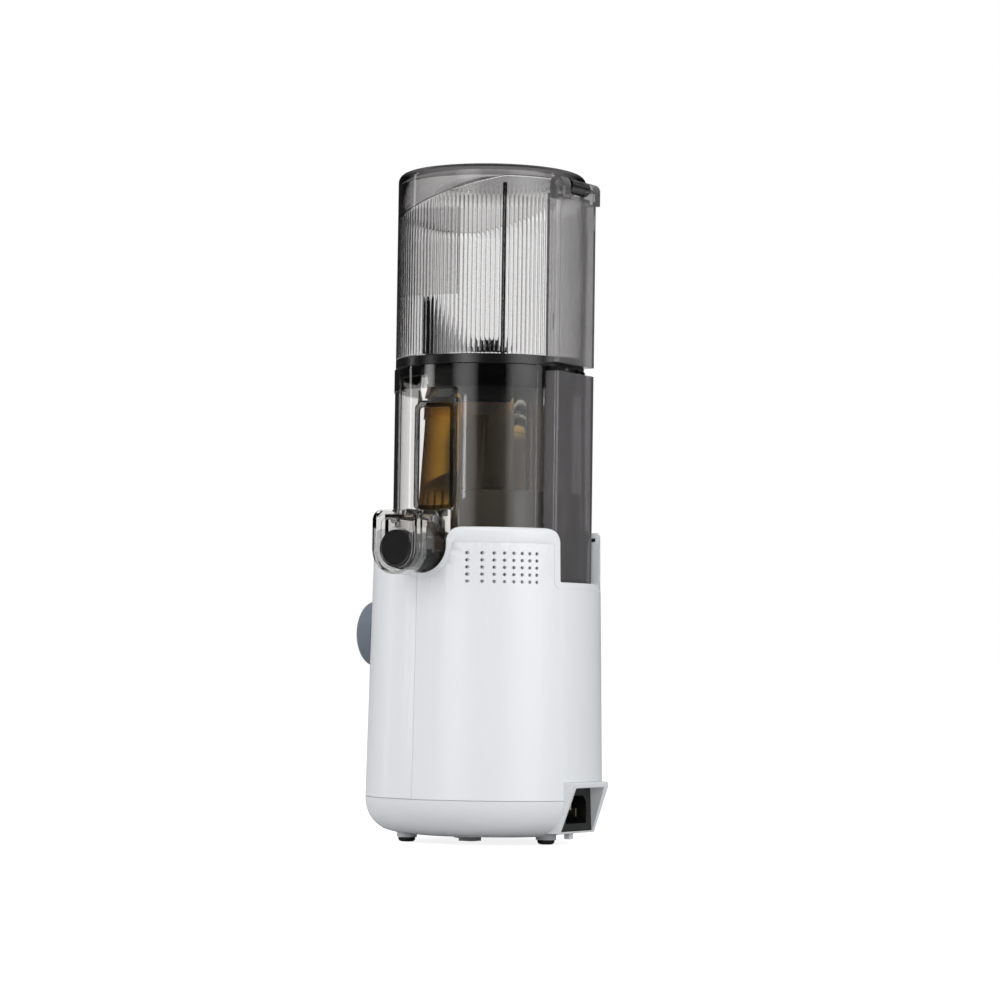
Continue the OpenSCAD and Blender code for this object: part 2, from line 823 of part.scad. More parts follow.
module gearbox_screws() {
  color([0.6, 0.6, 0.62])
    at_gearbox_screws() {
      disc(1.35, gearbox_top_z - 9, deck_z - 1.5);
      disc(2.8, deck_z - 1.55, deck_z - 0.1);
    }
}

module shaft_seal() {
  color([0.1, 0.1, 0.1])
    difference() {
      union() {
        disc(10, deck_under_z + 0.1, deck_z + 4.4);
        disc(11.4, deck_z + 4.1, deck_z + 5.2);
      }
      disc(output_d / 2 + run_gap, deck_under_z - 1, deck_z + 6);
    }
}

module circuit_board() {
  color([0.1, 0.35, 0.2])
    block([-board_half, board_y, pan_z + 6], [board_half, board_y + 1.6, seam_z + 40]);
}

module board_components() {
  face_y = board_y + 1.7;
  color([0.2, 0.2, 0.25]) {
    for (x = [-15, 0]) translate([x, face_y, seam_z + 24]) rotate([-90, 0, 0])
      cylinder(r = 5, h = 9);
    block([8, face_y, seam_z + 4], [board_half - 5, face_y + 7.8, seam_z + 20]);
    block([5 - board_half, face_y, seam_z], [-6, face_y + 6.3, seam_z + 12]);
  }
}

// Rotary switch behind the cover, with the bush that the knob's stem turns in
module rotary_switch() {
  back_y = -base_r(knob_z) + wall + 1;
  color([0.15, 0.15, 0.17])
    translate([0, back_y, knob_z]) rotate([-90, 0, 0])
      difference() {
        union() {
          cylinder(r = 9, h = 4);
          translate([0, 0, 3]) linear_extrude(14) round_rect(26, 26, 3);
        }
        translate([0, 0, -1]) cylinder(r = 3 + run_gap, h = 13);
      }
}

// ---- Turning parts of the drive ----

module rotor_core() {
  color([0.55, 0.55, 0.58]) ring(rotor_r, shaft_d / 2 - 0.02, rotor_z, rotor_z + rotor_h);
}

module motor_shaft() {
  color([0.78, 0.78, 0.8])
    union() {
      disc(shaft_d / 2, motor_low_z - 6.2, stage_low_z + eps);
      translate([0, 0, stage_low_z]) outer_gear(sun_teeth, gear_face);
    }
}

module cooling_fan() {
  fan_z = rotor_z + rotor_h + 1;
  color([0.2, 0.2, 0.22])
    difference() {
      union() {
        disc(9, fan_z, fan_z + 7);
        disc(rotor_r, fan_z, fan_z + 1.4);
        for (a = [0 : 30 : 330]) rotate(a) block([8, -0.7, fan_z], [rotor_r, 0.7, fan_z + 7]);
      }
      disc(shaft_d / 2 - 0.02, fan_z - 1, fan_z + 9);
    }
}

module planet(angle, z) {
  color([0.83, 0.78, 0.62])
    rotate(angle) translate([planet_orbit, 0, z])
      difference() {
        rotate(180 / planet_teeth) outer_gear(planet_teeth, gear_face);
        translate([0, 0, -1]) cylinder(r = planet_pin_r + run_gap, h = gear_face + 2);
      }
}

module first_planet_a() { planet(0, stage_low_z); }
module first_planet_b() { planet(120, stage_low_z); }
module first_planet_c() { planet(240, stage_low_z); }
module second_planet_a() { planet(0, stage_high_z); }
module second_planet_b() { planet(120, stage_high_z); }
module second_planet_c() { planet(240, stage_high_z); }

// Plate over a stage of planets, with the three pins they turn on
module carrier(z) {
  disc(planet_orbit + 6, z + gear_face + 1, z + gear_face + 4);
  for (a = [0, 120, 240]) rotate(a) translate([planet_orbit, 0, 0])
    disc(planet_pin_r, z, z + gear_face + 2);
}

module first_carrier() {
  color([0.7, 0.7, 0.73])
    union() {
      carrier(stage_low_z);
      translate([0, 0, stage_low_z + gear_face + 3])
        outer_gear(sun_teeth, stage_high_z - stage_low_z - 3);
    }
}

module output_carrier() {
  color([0.72, 0.72, 0.75])
    union() {
      carrier(stage_high_z);
      disc(output_d / 2, stage_high_z + gear_face + 3, deck_z + 10.5);
      hex_bar(hex_af, deck_z + 10, hex_top_z);
    }
}

module speed_knob() {
  back_y = -base_r(knob_z) - 0.5;
  depth = knob_out - 0.5;
  color([0.41, 0.44, 0.48])
    translate([0, back_y, knob_z]) rotate([90, 0, 0])
      difference() {
        union() {
          rotate_extrude() polygon(concat(
            [[0, 0], [knob_d / 2 - 1.2, 0], [knob_d / 2, 1.2]],
            [for (a = [0 : 15 : 90])
              [knob_d / 2 - 2.4 * (1 - cos(a)), depth - 2.4 * (1 - sin(a))]],
            [[knob_d / 2 - 4, depth], [knob_d / 2 - 5, depth - 0.8], [0, depth - 0.8]]));
          translate([0, 0, -12]) cylinder(r = 3, h = 12.1);
        }
        // Pointer groove in the face
        block([-0.8, knob_d / 2 - 11, depth - 1.6], [0.8, knob_d / 2 - 1, depth + 1]);
      }
}

// ---- Juice bowl and spout ----

// Plan of the tower: a circle with a pocket behind for the pulp bin
module tower_plan(r, inset) {
  half = bin_w / 2 + part_gap + inset;
  difference() {
    circle(r = r);
    translate([-half, bowl_pocket_y - inset]) square([2 * half, 40]);
  }
}

// Outline of the spout across its length: flat top and round bottom
module spout_outline(half, top_z) {
  union() {
    translate([0, spout_axis_z]) circle(r = half);
    translate([-half, spout_axis_z]) square([2 * half, top_z - spout_axis_z]);
  }
}

// Places a drawing of the spout's cross-section along +X from x_low to x_high
module along_spout(x_low, x_high) {
  translate([x_low, spout_y, 0]) rotate([90, 0, 90]) linear_extrude(x_high - x_low) children();
}

module juice_bowl() {
  collar_z = bowl_top_z - collar_h;
  window_x = bowl_skin_r - 2.6;
  color([0.75, 0.75, 0.74, 0.4])
    difference() {
      union() {
        translate([0, 0, bowl_foot_z]) linear_extrude(collar_z - bowl_foot_z + 1)
          tower_plan(bowl_skin_r, 0);
        translate([0, 0, collar_z]) linear_extrude(collar_h) tower_plan(bowl_r, 0);
        along_spout(bowl_skin_r - 8, channel_end_x) spout_outline(channel_half, spout_top_z - 2);
        // Gussets from the spout up to the bowl's wall
        for (s = [-1, 1])
          translate([0, spout_y + s * (channel_half - 1), 0]) rotate([90, 0, 0])
            translate([0, 0, -1]) linear_extrude(2)
              difference() {
                translate([bowl_skin_r - 6, spout_top_z - 3]) square([22, 22]);
                translate([bowl_skin_r + 16, spout_top_z + 19]) circle(r = 18);
                translate([bowl_skin_r + 14, spout_top_z - 4]) square([30, 40]);
              }
      }
      // Hollow, with a pad left behind the window panel and lugs in the collar
      difference() {
        translate([0, 0, bowl_floor_z]) linear_extrude(bowl_top_z)
          tower_plan(bowl_skin_r - bowl_wall, bowl_wall);
        for (a = lug_angles) rotate(a)
          block([bowl_skin_r - bowl_wall - 1.6, -4, bowl_top_z - 11.8],
                [bowl_r, 4, bowl_top_z - 8.2]);
        block([window_x - 2, spout_y - window_w / 2 - 2, bowl_floor_z - 1],
              [bowl_r, spout_y + window_w / 2 + 2, window_top_z + 2]);
        disc(16, bowl_floor_z - 1, bowl_floor_z + 6.2);
      }
      // Window panel over the spout
      translate([window_x, spout_y, (window_top_z + spout_top_z + 2) / 2])
        rotate([90, 0, 90]) linear_extrude(20)
          round_rect(window_w, window_top_z - spout_top_z - 2, 4);
      // Juice outlet
      translate([40, spout_y, spout_axis_z]) rotate([0, 90, 0])
        cylinder(d = outlet_d, h = spout_reach);
      // Pulp outlet in the pocket's wall
      block([-pulp_port_w / 2, bowl_pocket_y - 6, pulp_port_z[0]],
            [pulp_port_w / 2, bowl_pocket_y + 2, pulp_port_z[1]]);
      // Well over the deck's collar, and the bore of the bowl's seal
      disc(13.4, bowl_foot_z - 1, bowl_floor_z + 3.6);
      disc(9.5, bowl_foot_z, bowl_floor_z + 8);
      // Bores of the cap's pins
      cap_pin_bores();
    }
}

module cap_pin_bores() {
  for (s = [-1, 1])
    translate([cap_pin_x, spout_y + s * (channel_half - 3), cap_pin_z]) rotate([-90 * s, 0, 0])
      cylinder(r = cap_pin_r + run_gap, h = 8, $fn = 32);
}

// Wall inside the rear half of the bowl that keeps pulp from the juice
module pulp_guide() {
  color([0.3, 0.27, 0.24, 0.85])
    translate([0, 0, bowl_floor_z + 0.1]) linear_extrude(guide_top_z - bowl_floor_z)
      difference() {
        intersection() {
          tower_plan(bowl_skin_r - bowl_wall - seat_gap, bowl_wall + seat_gap);
          translate([-80, 13]) square([160, 80]);
        }
        tower_plan(bowl_skin_r - bowl_wall - 1.5, bowl_wall + 1.5);
        translate([-pulp_port_w / 2 - 1, 0]) square([pulp_port_w + 2, 80]);
      }
}

module bowl_seal() {
  color([0.15, 0.15, 0.15])
    difference() {
      union() {
        disc(9.5, bowl_floor_z + 3.8, bowl_floor_z + 6.4);
        disc(12, bowl_floor_z + 6.2, bowl_floor_z + 7.6);
      }
      disc(output_d / 2 + run_gap, bowl_floor_z, bowl_floor_z + 9);
    }
}

module spout_cap() {
  skin = 1.8;
  front_x = spout_reach - 2.2;
  color([0.6, 0.58, 0.56, 0.5])
    difference() {
      union() {
        // Front plate
        along_spout(front_x, spout_reach) spout_outline(spout_half, spout_top_z);
        // Trough behind the plate
        along_spout(channel_end_x - 3, spout_reach) difference() {
          spout_outline(spout_half, spout_top_z);
          spout_outline(spout_half - skin, spout_top_z + 1);
        }
        // Ears back to the pins
        for (s = [-1, 1])
          translate([0, spout_y + s * (spout_half - skin / 2), 0]) rotate([90, 0, 0])
            translate([0, 0, -skin / 2]) linear_extrude(skin) union() {
              translate([cap_pin_x, cap_pin_z]) circle(r = 4.8, $fn = 48);
              translate([cap_pin_x, cap_pin_z - 4.8]) square([front_x - cap_pin_x, 9.6]);
            }
      }
      for (s = [-1, 1])
        translate([cap_pin_x, spout_y + s * (spout_half - 3), cap_pin_z]) rotate([-90 * s, 0, 0])
          cylinder(r = cap_pin_r, h = 5, $fn = 32);
    }
}

module cap_plug() {
  color([0.06, 0.06, 0.06])
    translate([channel_end_x + seat_gap, spout_y, spout_axis_z]) rotate([0, 90, 0])
      cylinder(r = outlet_d / 2 + 2.4, h = spout_reach - 2.25 - channel_end_x - seat_gap);
}

module cap_pins() {
  color([0.8, 0.8, 0.8])
    for (s = [-1, 1])
      translate([cap_pin_x, spout_y + s * (channel_half - 2.8), cap_pin_z]) rotate([-90 * s, 0, 0])
        union() {
          cylinder(r = cap_pin_r, h = 5.9, $fn = 32);
          translate([0, 0, 5.85]) cylinder(r = 2.3, h = 0.6, $fn = 32);
        }
}

// ---- Strainer, auger and feed wing ----

function strainer_in(z) = strainer_r_low - strainer_wall
  + (strainer_r - strainer_r_low) * (z - strainer_low_z) / (strainer_top_z - strainer_low_z);

module strainer() {
  rim_h = 8;
  color([0.6, 0.44, 0.15, 0.8])
    difference() {
      union() {
        translate([0, 0, strainer_low_z])
          cylinder(r1 = strainer_r_low, r2 = strainer_r, h = strainer_top_z - strainer_low_z);
        disc(strainer_r + 0.6, strainer_top_z - rim_h, strainer_top_z);
      }
      // Inside
      translate([0, 0, strainer_low_z + 2.5])
        cylinder(r1 = strainer_in(strainer_low_z + 2.5), r2 = strainer_in(strainer_top_z + 1),
                 h = strainer_top_z - strainer_low_z - 1.5);
      disc(13, strainer_low_z - 1, strainer_low_z + 4);
      // Juice slots
      slot_low_z = strainer_low_z + slot_rise;
      for (i = [0 : strainer_slots - 1]) rotate((i + 0.5) * 360 / strainer_slots)
        block([strainer_r_low - 6, -0.4, slot_low_z], [strainer_r + 2, 0.4, slot_low_z + slot_h]);
      // Pulp outlet at the rear
      block([-pulp_port_w / 2, 20, pulp_port_z[0]], [pulp_port_w / 2, 50, pulp_port_z[1]]);
    }
}

auger_low_z = strainer_low_z + 0.5;
auger_foot_z = strainer_low_z + 3;
auger_top_z = strainer_top_z - 2;
flight_r = strainer_in(auger_foot_z) - 0.5;

// Two tapering flights, wound round the core
module auger_flights() {
  h = auger_top_z - auger_foot_z - 6;
  root = auger_hub_d / 2 - 3;
  intersection() {
    translate([0, 0, auger_foot_z])
      linear_extrude(h, twist = -360 * auger_turns, slices = 48, $fn = 16)
        union() for (s = [0, 180]) rotate(s)
          polygon([[root, -5], [flight_r - 6, -2.6], [flight_r, -1.5],
                   [flight_r, 1.5], [flight_r - 6, 2.6], [root, 5]]);
    rotate_extrude($fn = 72) polygon([
      [0, auger_foot_z], [flight_r, auger_foot_z], [flight_r, auger_top_z - 34],
      [auger_hub_d / 2 + 3, auger_top_z], [0, auger_top_z]]);
  }
}

module auger() {
  color([0.12, 0.12, 0.13])
    difference() {
      union() {
        rotate_extrude() polygon([
          [0, auger_low_z], [12.4, auger_low_z], [12.4, auger_foot_z], [auger_core_d / 2, auger_foot_z],
          [auger_core_d / 2, auger_foot_z + 12], [auger_hub_d / 2 + 3, auger_top_z - 30],
          [auger_hub_d / 2, auger_top_z - 12], [auger_hub_d / 2, auger_top_z], [0, auger_top_z]]);
        auger_flights();
      }
      disc(10.02, auger_low_z - 1, hex_top_z + 1.5);
      disc(4.5, hex_top_z - 1, hex_top_z + 4);
      // Square socket of the feed wing
      block([-5.05, -5.05, auger_top_z - 14], [5.05, 5.05, auger_top_z + 1]);
    }
}

module drive_insert() {
  color([0.75, 0.75, 0.77])
    difference() {
      disc(10, auger_low_z + 0.1, hex_top_z + 1.4);
      hex_bar(hex_af + 0.3, auger_low_z - 1, hex_top_z + 3);
    }
}

// Hub over the auger with one curved blade that draws food down
module feed_wing() {
  color([0.25, 0.25, 0.26])
    union() {
      block([-5, -5, auger_top_z - 13.9], [5, 5, auger_top_z + 1]);
      disc(auger_hub_d / 2, auger_top_z + 0.05, wing_z + 8);
      disc(auger_hub_d / 2 + 1.2, hopper_z - 3, hopper_z - seat_gap);
      disc(auger_hub_d / 2 - 3, wing_z + 7, wing_z + 12);
      intersection() {
        translate([0, 0, wing_z - 1]) linear_extrude(wing_h + 10) wing_plan();
        rotate_extrude() polygon([
          [0, wing_z], [wing_r, wing_z], [wing_r, wing_z + wing_h - 5], [wing_r - 6, wing_z + wing_h],
          [wing_r - 12, wing_z + wing_h - 2], [12, wing_z + 6], [0, wing_z + 6]]);
      }
    }
}

// Plan of the blade: a strip that curves outwards from the hub
module wing_plan() {
  sweep = 70;
  rotate(-90)
    polygon(concat(
      [for (t = [0 : 0.05 : 1])
        (8 + (wing_r - 8) * t) * [cos(sweep * t), sin(sweep * t)]],
      [for (t = [1 : -0.05 : 0])
        (6 + (wing_r - 9) * t) * [cos(sweep * t + 4), sin(sweep * t + 4)]]));
}

// ---- Hopper and lid ----

// Half space above the slanted edge of the lid's skirt, moved up by lift
module above_skirt(lift = 0) {
  difference() {
    translate([0, 0, skirt_mid_z + lift]) rotate([skirt_slope, 0, 0])
      block([-far, -far, 0], [far, far, far]);
    block([-far - 1, -far - 1, shell_z], [far + 1, far, skirt_low_z + lift]);
  }
}

// Plan of the hopper, with shallow vertical flutes round it
module flute_plan() {
  n = 2 * flute_count;
  polygon([for (i = [0 : n - 1])
    (hopper_r - 0.05 - (i % 2) * flute_depth) * [cos(i * 360 / n), sin(i * 360 / n)]]);
}

// Outer wall of the hopper up to the slanted edge of the lid's skirt
module fluted_wall() {
  difference() {
    union() {
      disc(hopper_r, shell_z, shell_z + 1.2);
      translate([0, 0, shell_z + 1]) linear_extrude(hopper_h - 1) flute_plan();
    }
    above_skirt(-skirt_gap);
  }
}

// Upright rib and guide plate inside the hopper
module hopper_inside() {
  rib_top_z = hopper_top_z - 4;
  rotate(rib_angle) {
    block([hopper_in_r - 2, -rib_w / 2, shell_z], [hopper_in_r + 0.5, rib_w / 2, rib_top_z]);
    translate([hopper_in_r - 2, 0, rib_top_z]) rotate([0, 90, 0])
      cylinder(r = rib_w / 2, h = 2.5, $fn = 24);
  }
  block([vane_x, -sqrt(hopper_in_r * hopper_in_r - vane_x * vane_x) - 0.4, vane_z],
        [vane_x + 1.6, -2, hopper_top_z - 16]);
}

// Plan of the column behind the hopper
module column_plan(inset) {
  translate([0, bin_back_y - 10])
    round_rect(bin_w - 2 * inset, 20 - 2 * inset, column_r);
}

module hopper_shell() {
  column_top_z = hinge_z - hinge_r - 1.6;
  color([0.72, 0.71, 0.71, 0.5])
    difference() {
      union() {
        fluted_wall();
        disc(rim_in_r, shell_z, hopper_top_z);
        difference() {
          translate([0, 0, column_z]) linear_extrude(column_top_z - column_z) column_plan(0);
          disc(hopper_r - 1.3, column_z - 1, column_top_z + 1);
          disc(bowl_r + 2, column_z - 1, shell_z);
        }
        hinge_ears();
        // Catches on the column's sides
        block([-bin_w / 2 - 0.8, hinge_y - 5.5, column_z + 20],
              [bin_w / 2 + 0.8, hinge_y - 1, column_z + 30]);
      }
      above_rim();
      // Hollow of the hopper
      difference() {
        disc(hopper_in_r, shell_z - 1, hopper_top_z + 1);
        hopper_inside();
      }
      // Hollow of the column
      difference() {
        translate([0, 0, column_z - 1]) linear_extrude(column_top_z - column_z - 1)
          column_plan(column_wall);
        disc(hopper_r + 0.2, column_z - 2, column_top_z);
      }
      // Slots in the column's sides
      for (s = [-1, 1])
        block([s * bin_w / 2 - 0.6, hinge_y - 3.5, column_top_z - 18],
              [s * bin_w / 2 + 0.6, hinge_y - 2, column_top_z - 8]);
      hinge_bore(hinge_pin_r);
      // Room for the lid's barrel between the ears
      translate([-barrel_w / 2 - 0.4, hinge_y, hinge_z]) rotate([0, 90, 0])
        cylinder(r = hinge_r + 0.4, h = barrel_w + 0.8);
      block([-barrel_w / 2 - 0.4, hinge_y - hinge_r - 0.4, hinge_z],
            [barrel_w / 2 + 0.4, bin_back_y + 5, hopper_top_z + 5]);
    }
}

// Space over the rim that the lid's skirt takes
module above_rim() {
  intersection() {
    above_skirt(-skirt_gap);
    ring(hopper_r + 5, rim_in_r, shell_z, hopper_top_z + 5);
    block([-far, -far, shell_z], [far, skirt_back_y + 0.4, hopper_top_z + 6]);
  }
}

// Ears at both ends of the column's top
module hinge_ears() {
  for (s = [-1, 1])
    translate([s * (bin_w / 2 - ear_w / 2) - ear_w / 2, 0, 0]) rotate([90, 0, 90])
      linear_extrude(ear_w) union() {
        translate([hinge_y, hinge_z]) circle(r = hinge_r, $fn = 48);
        translate([hinge_y - hinge_r, hinge_z - hinge_r - 3]) square([2 * hinge_r, hinge_r + 3]);
      }
}

module hinge_bore(r) {
  translate([-bin_w, hinge_y, hinge_z]) rotate([0, 90, 0]) cylinder(r = r, h = 2 * bin_w, $fn = 32);
}

// Dark ring under the hopper, with the neck that meets the strainer
module hopper_ring() {
  neck_r = strainer_r - 1;
  color([0.16, 0.16, 0.16])
    difference() {
      union() {
        disc(hopper_r, hopper_z, shell_z - 0.05);
        disc(bowl_skin_r - bowl_wall - part_gap, bowl_top_z - 6, hopper_z + 1);
        disc(neck_r, strainer_top_z + seat_gap, hopper_z + 1);
      }
      // Throat, crossed by a bridge that holds the feed wing's bearing
      difference() {
        disc(neck_r - 2.4, strainer_top_z - 1, shell_z + 1);
        disc(15.5, hopper_z, hopper_z + bridge_h);
        block([-neck_r, -3.5, hopper_z], [neck_r, 3.5, hopper_z + bridge_h]);
      }
      disc(auger_hub_d / 2 + run_gap, strainer_top_z, shell_z + 1);
      // Hollow between the neck and the bowl's collar
      ring(bowl_skin_r - bowl_wall - 2.6, neck_r, bowl_top_z - 8, hopper_z - 1);
      // Room for the bowl's pocket, which holds the bin
      block([-bin_w / 2 - bowl_wall - 1.4, bowl_pocket_y - bowl_wall - 1, bowl_top_z - 8],
            [bin_w / 2 + bowl_wall + 1.4, far, hopper_z]);
    }
}

module hinge_pin() {
  color([0.8, 0.8, 0.8])
    translate([-bin_w / 2 + 0.6, hinge_y, hinge_z]) rotate([0, 90, 0])
      cylinder(r = hinge_pin_r, h = bin_w - 1.2, $fn = 32);
}

module hopper_lid() {
  crown_r = 5;
  lid_r = hopper_r;
  color([0.66, 0.65, 0.65, 0.5])
    difference() {
      union() {
        // Crown with a rounded edge and a slight dome
        rotate_extrude() difference() {
          polygon(concat([[0, hopper_top_z + 0.4], [lid_r, hopper_top_z + 0.4]],
            [for (a = [0 : 15 : 75])
              [lid_r - crown_r * (1 - cos(a)), lid_top_z - 1.5 - crown_r * (1 - sin(a))]],
            [for (t = [1 : -0.125 : 0])
              [t * (lid_r - crown_r), lid_top_z - 1.5 * t * t]]));
          polygon(concat([[-1, hopper_top_z], [rim_in_r, hopper_top_z]],
            [for (a = [0 : 15 : 75])
              [rim_in_r - crown_r * (1 - cos(a)), lid_top_z - 3.7 - crown_r * (1 - sin(a))]],
            [for (t = [1 : -0.125 : 0])
              [t * (rim_in_r - crown_r), lid_top_z - 2.2 - 1.5 * t * t]], [[-1, lid_top_z - 2.2]]));
        }
        // Skirt, deeper at the front
        intersection() {
          ring(lid_r, rim_in_r + skirt_gap, skirt_low_z - 1, hopper_top_z + 1);
          above_skirt(0);
          block([-far, -far, shell_z], [far, skirt_back_y, hopper_top_z + 6]);
        }
        // Finger tab at the front
        translate([-9, -lid_r - 2.4, skirt_low_z + 0.1]) cube([18, 4, 3]);
        lid_barrel();
      }
      hinge_bore(hinge_pin_r + run_gap);
      // Room for the hopper's ears as the lid turns
      for (s = [-1, 1])
        translate([s * (bin_w / 2 - ear_w / 2) - ear_w / 2 - 0.5, hinge_y, hinge_z])
          rotate([0, 90, 0]) cylinder(r = hinge_r + 0.5, h = ear_w + 1);
      disc(rim_in_r + skirt_gap, shell_z, hopper_top_z + 0.35);
    }
}

// Barrel of the lid between the hopper's ears, with its arm to the crown
module lid_barrel() {
  translate([-barrel_w / 2, 0, 0]) rotate([90, 0, 90]) linear_extrude(barrel_w) difference() {
    union() {
      translate([hinge_y, hinge_z]) circle(r = hinge_r, $fn = 48);
      translate([hopper_r - 7, hopper_top_z + 0.4])
        square([hinge_y - hopper_r + 7, hinge_z + hinge_r - hopper_top_z - 0.4]);
    }
    translate([0, hinge_z - 10]) square([hopper_r - 3, 12.4]);
  }
}

// ---- Pulp bin ----

module pulp_bin() {
  front_y = bin_back_y - bin_depth;
  module bin_plan(inset) {
    intersection() {
      translate([-bin_w / 2 + inset, front_y + inset])
        square([bin_w - 2 * inset, bin_depth - 2 * inset]);
      translate([0, bin_back_y - 20]) round_rect(bin_w - 2 * inset, 40 - 2 * inset, 2.5);
    }
  }
  color([0.45, 0.44, 0.44, 0.7])
    difference() {
      translate([0, 0, bin_floor_z]) linear_extrude(bin_top_z - bin_floor_z) bin_plan(0);
      translate([0, 0, bin_floor_z + bin_wall]) linear_extrude(bin_top_z) bin_plan(bin_wall);
      block([-pulp_port_w / 2, front_y - 1, pulp_port_z[0]],
            [pulp_port_w / 2, front_y + 4, pulp_port_z[1]]);
    }
}

rear_housing();
front_cover();
deck_plate();
bottom_pan();
rubber_feet();
inlet_hood();
power_inlet();
inlet_pins();
housing_screws();
chassis_plate();
stator_core();
field_coils();
motor_end_frame();
lower_bearing();
upper_bearing();
gearbox_housing();
gearbox_cover();
output_bearing();
shaft_seal();
gearbox_screws();
circuit_board();
board_components();
rotary_switch();
rotor_core();
motor_shaft();
cooling_fan();
first_planet_a();
first_planet_b();
first_planet_c();
first_carrier();
second_planet_a();
second_planet_b();
second_planet_c();
output_carrier();
speed_knob();
juice_bowl();
pulp_guide();
bowl_seal();
spout_cap();
cap_plug();
cap_pins();
strainer();
auger();
drive_insert();
feed_wing();
hopper_shell();
hopper_ring();
hinge_pin();
hopper_lid();
pulp_bin();
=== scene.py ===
"""Dresses a packed cold press juicer: its plastics, seals, screws and stage.

Lengths are in metres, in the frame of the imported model: the drive axis is Z,
the juice spout points to +X, the knob to -Y and the pulp bin to +Y.
"""

import json
import math

import bmesh
import bpy
from mathutils import Matrix, Vector

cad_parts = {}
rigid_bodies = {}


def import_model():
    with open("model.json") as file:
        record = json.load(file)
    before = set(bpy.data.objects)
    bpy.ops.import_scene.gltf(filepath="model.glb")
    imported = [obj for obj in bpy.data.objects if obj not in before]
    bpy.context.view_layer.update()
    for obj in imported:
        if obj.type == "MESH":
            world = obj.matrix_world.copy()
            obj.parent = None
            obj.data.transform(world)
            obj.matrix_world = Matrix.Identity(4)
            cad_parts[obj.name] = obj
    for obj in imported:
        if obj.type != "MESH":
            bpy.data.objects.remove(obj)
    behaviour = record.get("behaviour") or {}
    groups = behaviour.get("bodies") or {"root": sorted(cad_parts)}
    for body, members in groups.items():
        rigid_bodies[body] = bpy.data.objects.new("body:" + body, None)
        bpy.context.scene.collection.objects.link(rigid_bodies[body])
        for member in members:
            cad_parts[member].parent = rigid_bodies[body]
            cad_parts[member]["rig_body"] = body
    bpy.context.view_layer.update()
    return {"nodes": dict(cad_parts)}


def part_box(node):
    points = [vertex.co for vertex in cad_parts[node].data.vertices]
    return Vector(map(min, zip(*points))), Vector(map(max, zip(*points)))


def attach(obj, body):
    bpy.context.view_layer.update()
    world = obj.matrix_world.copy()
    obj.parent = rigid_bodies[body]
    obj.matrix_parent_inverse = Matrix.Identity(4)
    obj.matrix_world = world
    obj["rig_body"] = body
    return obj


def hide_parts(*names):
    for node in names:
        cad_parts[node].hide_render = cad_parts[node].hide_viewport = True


bl_info = {
    "name": "Cold Press Juicer Dresser",
    "version": (1, 0, 0),
    "blender": (4, 5, 0),
    "location": "3D View > Sidebar > Juicer",
    "description": "Builds the visible pieces, finishes and stage of a cold press juicer",
    "category": "Object",
}

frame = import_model()
MM = 0.001

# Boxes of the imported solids
HOPPER_LOW, HOPPER_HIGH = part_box("hopper_shell")
LID_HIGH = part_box("hopper_lid")[1]
BOWL_LOW, BOWL_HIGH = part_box("juice_bowl")
BIN_LOW, BIN_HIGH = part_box("pulp_bin")
CAP_LOW, CAP_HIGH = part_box("spout_cap")
AUGER_LOW, AUGER_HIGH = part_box("auger")
PIN_LOW, PIN_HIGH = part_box("cap_pins")

# Hopper: its wall, the rim under the lid and the lid's slanting edge
HOPPER_R = HOPPER_HIGH.x
RIM_R = HOPPER_R - 2.2 * MM
INNER_R = RIM_R - 1.2 * MM
SHELL_Z = HOPPER_LOW.z + 4 * MM
RIM_Z = LID_HIGH.z - 9 * MM
SKIRT_SLOPE = math.tan(math.radians(15))
SKIRT_MID_Z = 0.399
SKIRT_LOW_Z = 0.389
SKIRT_GAP = 0.3 * MM

# Reeds of the hopper's wall, which stop under the skirt and beside the column
COLUMN_W = BIN_HIGH.x - BIN_LOW.x
REED_TOP = 0.3965
REED_BACK = math.sqrt(HOPPER_R ** 2 - (COLUMN_W / 2) ** 2)
REED_STEPS = 10
REED_BULGE = 0.92
# Painted shade in the valleys between reeds: the width of a valley's dark line, and how dark it is
VALLEY_WIDTH = 0.16
VALLEY_SHADE = 0.12

# Hinge, column, rib and vane of the hopper
HINGE_Y = BIN_HIGH.y - 2.5 * MM
HINGE_Z = RIM_Z - 3.2 * MM
HINGE_R = 4.6 * MM
EAR_W = 9.5 * MM
COLUMN_WALL = 1.8 * MM
RIB_ANGLE = math.radians(39)
RIB_HALF_W = 1.25 * MM
VANE_X = 39 * MM
VANE_T = 1.6 * MM
VANE_Z = 0.3386

# Bowl with its collar and window, spout and cap
BOWL_RIM_R = -BOWL_LOW.x
COLLAR_Z = BOWL_HIGH.z - 14 * MM
# Painted shade on the bowl's collar: the base colour falls to this share above COLLAR_Z
COLLAR_SHADE = 0.42
WINDOW_X = BOWL_RIM_R - 3.1 * MM
WINDOW_TOP_Z = BOWL_HIGH.z - 23 * MM
WINDOW_FOOT_Z = CAP_HIGH.z + 2 * MM
WINDOW_MIDDLE = (-4 * MM, (WINDOW_TOP_Z + WINDOW_FOOT_Z) / 2)
WINDOW_SIZE = (29 * MM, WINDOW_TOP_Z - WINDOW_FOOT_Z)
SPOUT_Y = (CAP_LOW.y + CAP_HIGH.y) / 2
SPOUT_HALF = (CAP_HIGH.y - CAP_LOW.y) / 2
SPOUT_AXIS_Z = CAP_LOW.z + SPOUT_HALF
CHANNEL_END_X = BOWL_HIGH.x
PIN_X, PIN_Z = (PIN_LOW.x + PIN_HIGH.x) / 2, (PIN_LOW.z + PIN_HIGH.z) / 2

# Thickness at which the colours of the clear plastics are given, and their refraction
SAMPLE_THICKNESS = 4 * MM
CLEAR_IOR = 1.49


# ---- Sizes and colours that a user would change ----

def colour(name, text, default):
    """A colour that a user may change."""
    return bpy.props.FloatVectorProperty(
        name=name, description=text, subtype="COLOR", size=3, min=0, max=1, default=default)


